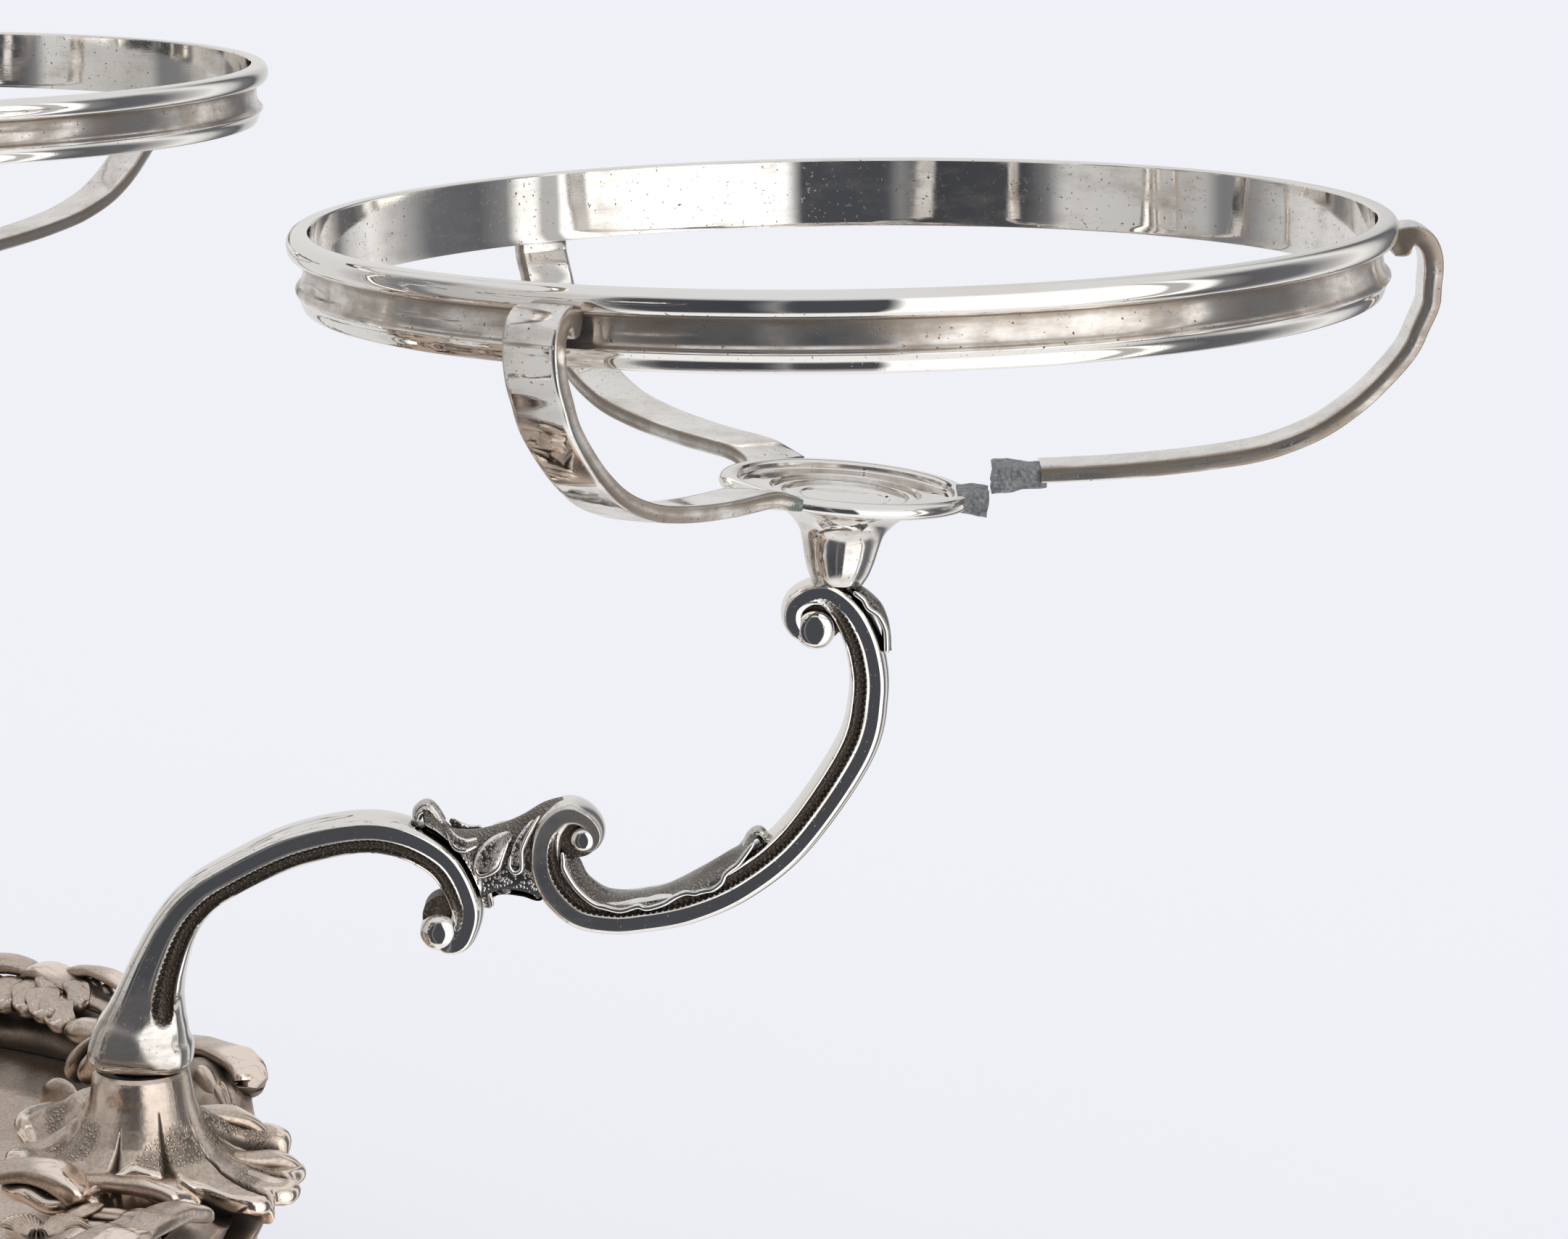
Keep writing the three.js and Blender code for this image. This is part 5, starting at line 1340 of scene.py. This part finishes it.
class CentrepieceLooks(bpy.types.PropertyGroup):
    """Colours and finish of the metals."""

    silver: colour_setting("Silver", "Colour of clean polished silver", (0.93, 0.9, 0.86))
    tarnish_brown: colour_setting("Tarnish", "Colour of brown tarnish", (0.30, 0.225, 0.16))
    verdigris: colour_setting("Verdigris", "Colour of the green corrosion at one joint", (0.16, 0.25, 0.22))
    # Near black for specks and punched pits, and for painted shade in hollows and crevices
    soot_and_shade: colour_setting("Hollows", "Colour in hollows and specks", (0.045, 0.035, 0.028))
    warm_stain: colour_setting("Warm stain", "Colour of faint stains on polished silver", (0.80, 0.72, 0.62))
    groove_grey: colour_setting("Matted groove", "Colour of the punched grooves", (0.165, 0.135, 0.11))
    satin: colour_setting("Satin base", "Colour of the satin base silver", (0.66, 0.555, 0.475))
    satin_warm: colour_setting("Warm satin", "Second, warmer colour of the base silver", (0.78, 0.64, 0.53))
    # Near white, painted on rubbed edges and as highlights on the base
    copper_wear_and_highlight: colour_setting("Worn highlight", "Colour where the base is worn", (0.98, 0.84, 0.73))
    solder_dark: colour_setting("Dark solder", "Darker colour of the old solder", (0.2, 0.205, 0.21))
    solder_light: colour_setting("Light solder", "Lighter colour of the old solder", (0.5, 0.51, 0.52))
    steel: colour_setting("Steel", "Colour of the hardware under the base", (0.55, 0.56, 0.58))
    polish: share_setting("Polish", "Roughness of clean polished silver", 0.02)
    tarnish: share_setting("Tarnish amount", "How strongly tarnish shows on polished silver", 0.85)


class CentrepieceStage(bpy.types.PropertyGroup):
    """Camera, floor and studio light."""

    camera_place: bpy.props.FloatVectorProperty(
        name="Camera place", description="Where the camera stands",
        default=(0.16361, -0.61551, 0.24948), subtype="TRANSLATION", unit="LENGTH")
    camera_pitch: bpy.props.FloatProperty(
        name="Camera pitch", description="How far the camera looks down",
        default=math.radians(11.95), subtype="ANGLE", unit="ROTATION")
    camera_lens: bpy.props.FloatProperty(
        name="Lens", description="Focal length on a 36 mm wide frame", default=104.64, min=1, unit="CAMERA")
    floor_size: bpy.props.FloatProperty(
        name="Floor", description="Half width of the plain pale floor", default=9.0, min=1, unit="LENGTH")
    backdrop: colour_setting("Backdrop", "Colour of the pale backdrop", (0.885, 0.895, 0.935))


# Degrees above and below the horizon over which the walls give way to the ceiling and to the ground
CEILING_EDGE = (26, 48)
FLOOR_EDGE = (46, 62)
# Brightness round the studio by direction, in degrees from the camera's side, positive to the right
STUDIO_ROUND = (
    (-180, 0.74), (-126, 0.70), (-114, 0.45), (-104, 0.22), (-96, 0.2), (-91, 0.46), (-80, 0.52),
    (-53, 0.62), (-49, 0.2), (-44, 0.07), (-20, 0.055), (-17, 0.12), (-14, 0.24), (-11, 0.07),
    (9, 0.07), (12.5, 1.35), (66, 1.35), (67.5, 0.5), (72, 0.5), (73.5, 1.2), (78, 1.2),
    (81, 0.25), (90, 0.12), (106, 0.15), (118, 0.5), (130, 0.9), (140, 0.6), (147, 0.2),
    (157, 0.12), (164, 0.55), (180, 0.74),
)


def studio_light(stage):
    """World: pale all round for the camera; in reflections soft boxes and dark gaps, pale above and below."""
    world = bpy.data.worlds.new("studio")
    bpy.context.scene.world = world
    world.use_nodes = True
    board = Board(world.node_tree)
    direction = board.add("ShaderNodeTexCoord", {}, {}, 0)
    parts = board.add("ShaderNodeSeparateXYZ", {}, {"Vector": direction}).socket.node
    x, y, z = (Value(board, part) for part in parts.outputs)
    azimuth = x.maths("ARCTAN2", x, -1.0 * y)
    share = azimuth * (0.5 / math.pi) + 0.5
    stops = []
    for angle, light in STUDIO_ROUND:
        dark = max(0.0, 1 - light / 0.3)
        stops.append(((angle + 180) / 360, (light * (1 - 0.08 * dark), light, light * (1 + 0.2 * dark), 1)))
    walls = board.add("ShaderNodeValToRGB", {"stops": stops}, {"Fac": share})
    above, below = np.sin(np.radians([CEILING_EDGE, FLOOR_EDGE])).tolist()
    light = board.blend(z.between(*above), walls, (0.74, 0.75, 0.77, 1))
    light = board.blend((-1.0 * z).between(*below), light, (0.92, 0.92, 0.93, 1))
    seen = board.blend(board.add("ShaderNodeLightPath", {}, {}, 0), light, colour(stage.backdrop))
    background = board.add("ShaderNodeBackground", {}, {"Color": seen, "Strength": 1.0})
    board.add("ShaderNodeOutputWorld", {}, {"Surface": background})


def pale_floor(stage):
    """Plain floor, pale and partly self-lit, so that shadows on it stay faint as on a light table."""
    half = stage.floor_size
    mesh = bpy.data.meshes.new("floor")
    corners = [(-half, -half, 0), (half, -half, 0), (half, half, 0), (-half, half, 0)]
    mesh.from_pydata(corners, [], [(0, 1, 2, 3)])
    floor = bpy.data.objects.new("floor", mesh)
    bpy.context.scene.collection.objects.link(floor)
    material, board, _ = new_finish("pale_floor")
    surface(board, Base_Color=(0.62, 0.63, 0.66, 1), Roughness=0.9, Specular_IOR_Level=0.0,
            Emission_Color=colour(stage.backdrop), Emission_Strength=0.5)
    mesh.materials.append(material)
    floor.visible_glossy = False


def camera(stage):
    """Camera of the photo's view, level and pitched down about its own X axis."""
    data = bpy.data.cameras.new("camera")
    data.lens = stage.camera_lens
    data.sensor_width = 36
    data.clip_start, data.clip_end = 0.01, 100
    made = bpy.data.objects.new("camera", data)
    bpy.context.scene.collection.objects.link(made)
    made.location = stage.camera_place
    made.rotation_euler = Euler((math.pi / 2 - stage.camera_pitch, 0, 0))
    bpy.context.scene.camera = made


# Operators

def base_pieces(name, node, skins, sharp, offset=0.0):
    """Pieces of the base, one for each arm; the offset is a share of the turn from one arm to the next."""
    for k in range(ARM_COUNT):
        piece(f"{name}_{k + 1}", "base", placed(around(k + offset), *skins), "tarnished_silver",
              [f"{node}_{k + 1}"], sharp)


class StageOperator(bpy.types.Operator):
    """Make the camera, the pale floor and the soft studio light"""
    bl_idname = "centrepiece.stage"
    bl_label = "Stage"

    def execute(self, context):
        stage = context.scene.centrepiece_stage
        camera(stage)
        studio_light(stage)
        pale_floor(stage)
        context.scene.view_settings.view_transform = "Standard"
        return {"FINISHED"}


class RingsOperator(bpy.types.Operator):
    """Make the five cradle rings"""
    bl_idname = "centrepiece.rings"
    bl_label = "Cradle rings"

    def execute(self, context):
        for k, label in CRADLES:
            skins = placed(ring_place(k), ring_skin(cradle_size(k)[0]))
            piece(f"ring_band_{label}", f"cradle_{label}", skins,
                  "polished_silver", [f"ring_{label}"], sharp=24)
        return {"FINISHED"}


class StrapsOperator(bpy.types.Operator):
    """Make the straps that join each ring to its cup; the front right one is broken"""
    bl_idname = "centrepiece.straps"
    bl_label = "Cradle straps"

    def execute(self, context):
        for k, label in CRADLES:
            for n in range(STRAP_COUNT):
                place, made = strap_of(k, n)
                piece(f"strap_bar_{label}_{n + 1}", f"cradle_{label}", placed(place, made),
                      "polished_silver", [f"strap_{label}_{n + 1}"], sharp=50)
        return {"FINISHED"}


class CupsOperator(bpy.types.Operator):
    """Make the five cups with trumpet stems"""
    bl_idname = "centrepiece.cups"
    bl_label = "Cradle cups"

    def execute(self, context):
        for k, label in CRADLES:
            skins = placed(cup_place(k), cup_skin())
            piece(f"cup_dish_{label}", f"cradle_{label}", skins,
                  "polished_silver", [f"cup_{label}"], sharp=24)
        return {"FINISHED"}


class SolderOperator(bpy.types.Operator):
    """Make the two torn lumps of old solder at the broken strap"""
    bl_idname = "centrepiece.solder"
    bl_label = "Old solder"

    def execute(self, context):
        drop = size("cradle_rise") - CUP_HEIGHT + CUP_RIM / 2
        on_strap = ring_place(0) @ move(0, 0, -LUMP_DROP * drop - LUMP_OFFSET)
        on_cup = cup_place(0) @ move(0, 0, CUP_HEIGHT - CUP_RIM / 2)
        lump, stub = torn_block(27.5, 20.3, 3.2, 1.3, 0.55), torn_block(15.2, 19.4, 3.5, 1.4, 0.35)
        piece("solder_lump", "cradle_1", placed(on_strap, lump), "lead_solder", ["solder_on_strap"], sharp=70)
        piece("solder_stub", "cradle_1", placed(on_cup, stub), "lead_solder", ["solder_on_cup"], sharp=70)
        return {"FINISHED"}


class ArmsOperator(bpy.types.Operator):
    """Make the four scroll arms with their volutes and leaves"""
    bl_idname = "centrepiece.arms"
    bl_label = "Scroll arms"

    def execute(self, context):
        skins = arm_skins()
        for k in range(ARM_COUNT):
            piece(f"scroll_arm_{k + 1}", f"arm_{k + 1}", placed(arm_place(k), *skins),
                  "polished_silver", [f"arm_{k + 1}"], sharp=32)
        return {"FINISHED"}


class SocketsOperator(bpy.types.Operator):
    """Make the four leaf-bell sockets that carry the arms"""
    bl_idname = "centrepiece.sockets"
    bl_label = "Arm sockets"

    def execute(self, context):
        skins = placed(move(size("socket_circle"), 0, ORNAMENT_BOTTOM), *socket_skins())
        base_pieces("leaf_bell", "socket", skins, sharp=48)
        return {"FINISHED"}


class BordersOperator(bpy.types.Operator):
    """Make the four cast borders with scrolls, leaves, buds, beads and a flower"""
    bl_idname = "centrepiece.borders"
    bl_label = "Cast borders"

    def execute(self, context):
        base_pieces("cast_border", "border", border_skins(), sharp=55)
        return {"FINISHED"}


class BaseOperator(bpy.types.Operator):
    """Make the hollow base body, its top plate and its four feet"""
    bl_idname = "centrepiece.base"
    bl_label = "Base body, plate and feet"

    def execute(self, context):
        piece("hollow_body", "base", [body_skin()], "tarnished_silver", ["base_body"], sharp=32)
        piece("smooth_plate", "base", [plate_skin()], "tarnished_silver", ["top_plate"], sharp=32)
        base_pieces("scroll_foot", "base_foot", base_foot_skins(), sharp=40, offset=0.5)
        return {"FINISHED"}


class ColumnOperator(bpy.types.Operator):
    """Make the turned column"""
    bl_idname = "centrepiece.column"
    bl_label = "Column"

    def execute(self, context):
        piece("turned_column", "base", [column_skin()], "polished_silver", ["column"], sharp=30)
        return {"FINISHED"}


class HardwareOperator(bpy.types.Operator):
    """Give the tie rod, washer, nut and studs their steel finish"""
    bl_idname = "centrepiece.hardware"
    bl_label = "Steel hardware"

    def execute(self, context):
        arm_studs = [f"arm_stud_{k + 1}" for k in range(ARM_COUNT)]
        for name in ("tie_rod", "tie_washer", "tie_nut", "column_stud", *arm_studs):
            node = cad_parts[name]
            node.data.materials.clear()
            node.data.materials.append(finish("turned_steel"))
        return {"FINISHED"}


OPERATORS = (StageOperator, BaseOperator, SocketsOperator, BordersOperator, ColumnOperator, ArmsOperator,
             CupsOperator, RingsOperator, StrapsOperator, SolderOperator, HardwareOperator)


class CentrepiecePanel(bpy.types.Panel):
    """Lists the settings and the pieces"""
    bl_idname = "VIEW3D_PT_centrepiece"
    bl_label = "Table centrepiece"
    bl_space_type = "VIEW_3D"
    bl_region_type = "UI"
    bl_category = "Centrepiece"

    def draw(self, context):
        column = self.layout.column()
        scene = context.scene
        for group in (scene.centrepiece_sizes, scene.centrepiece_looks, scene.centrepiece_stage):
            for name in group.__annotations__:
                column.prop(group, name)
        for operator in OPERATORS:
            column.operator(operator.bl_idname)


CLASSES = (CentrepieceSizes, CentrepieceLooks, CentrepieceStage, *OPERATORS, CentrepiecePanel)


def register():
    for kind in CLASSES:
        bpy.utils.register_class(kind)
    bpy.types.Scene.centrepiece_sizes = bpy.props.PointerProperty(type=CentrepieceSizes)
    bpy.types.Scene.centrepiece_looks = bpy.props.PointerProperty(type=CentrepieceLooks)
    bpy.types.Scene.centrepiece_stage = bpy.props.PointerProperty(type=CentrepieceStage)


def unregister():
    del bpy.types.Scene.centrepiece_stage
    del bpy.types.Scene.centrepiece_looks
    del bpy.types.Scene.centrepiece_sizes
    for kind in reversed(CLASSES):
        bpy.utils.unregister_class(kind)


def main():
    register()
    for operator in OPERATORS:
        group, name = operator.bl_idname.split(".")
        getattr(getattr(bpy.ops, group), name)()


if __name__ == "__main__":
    main()
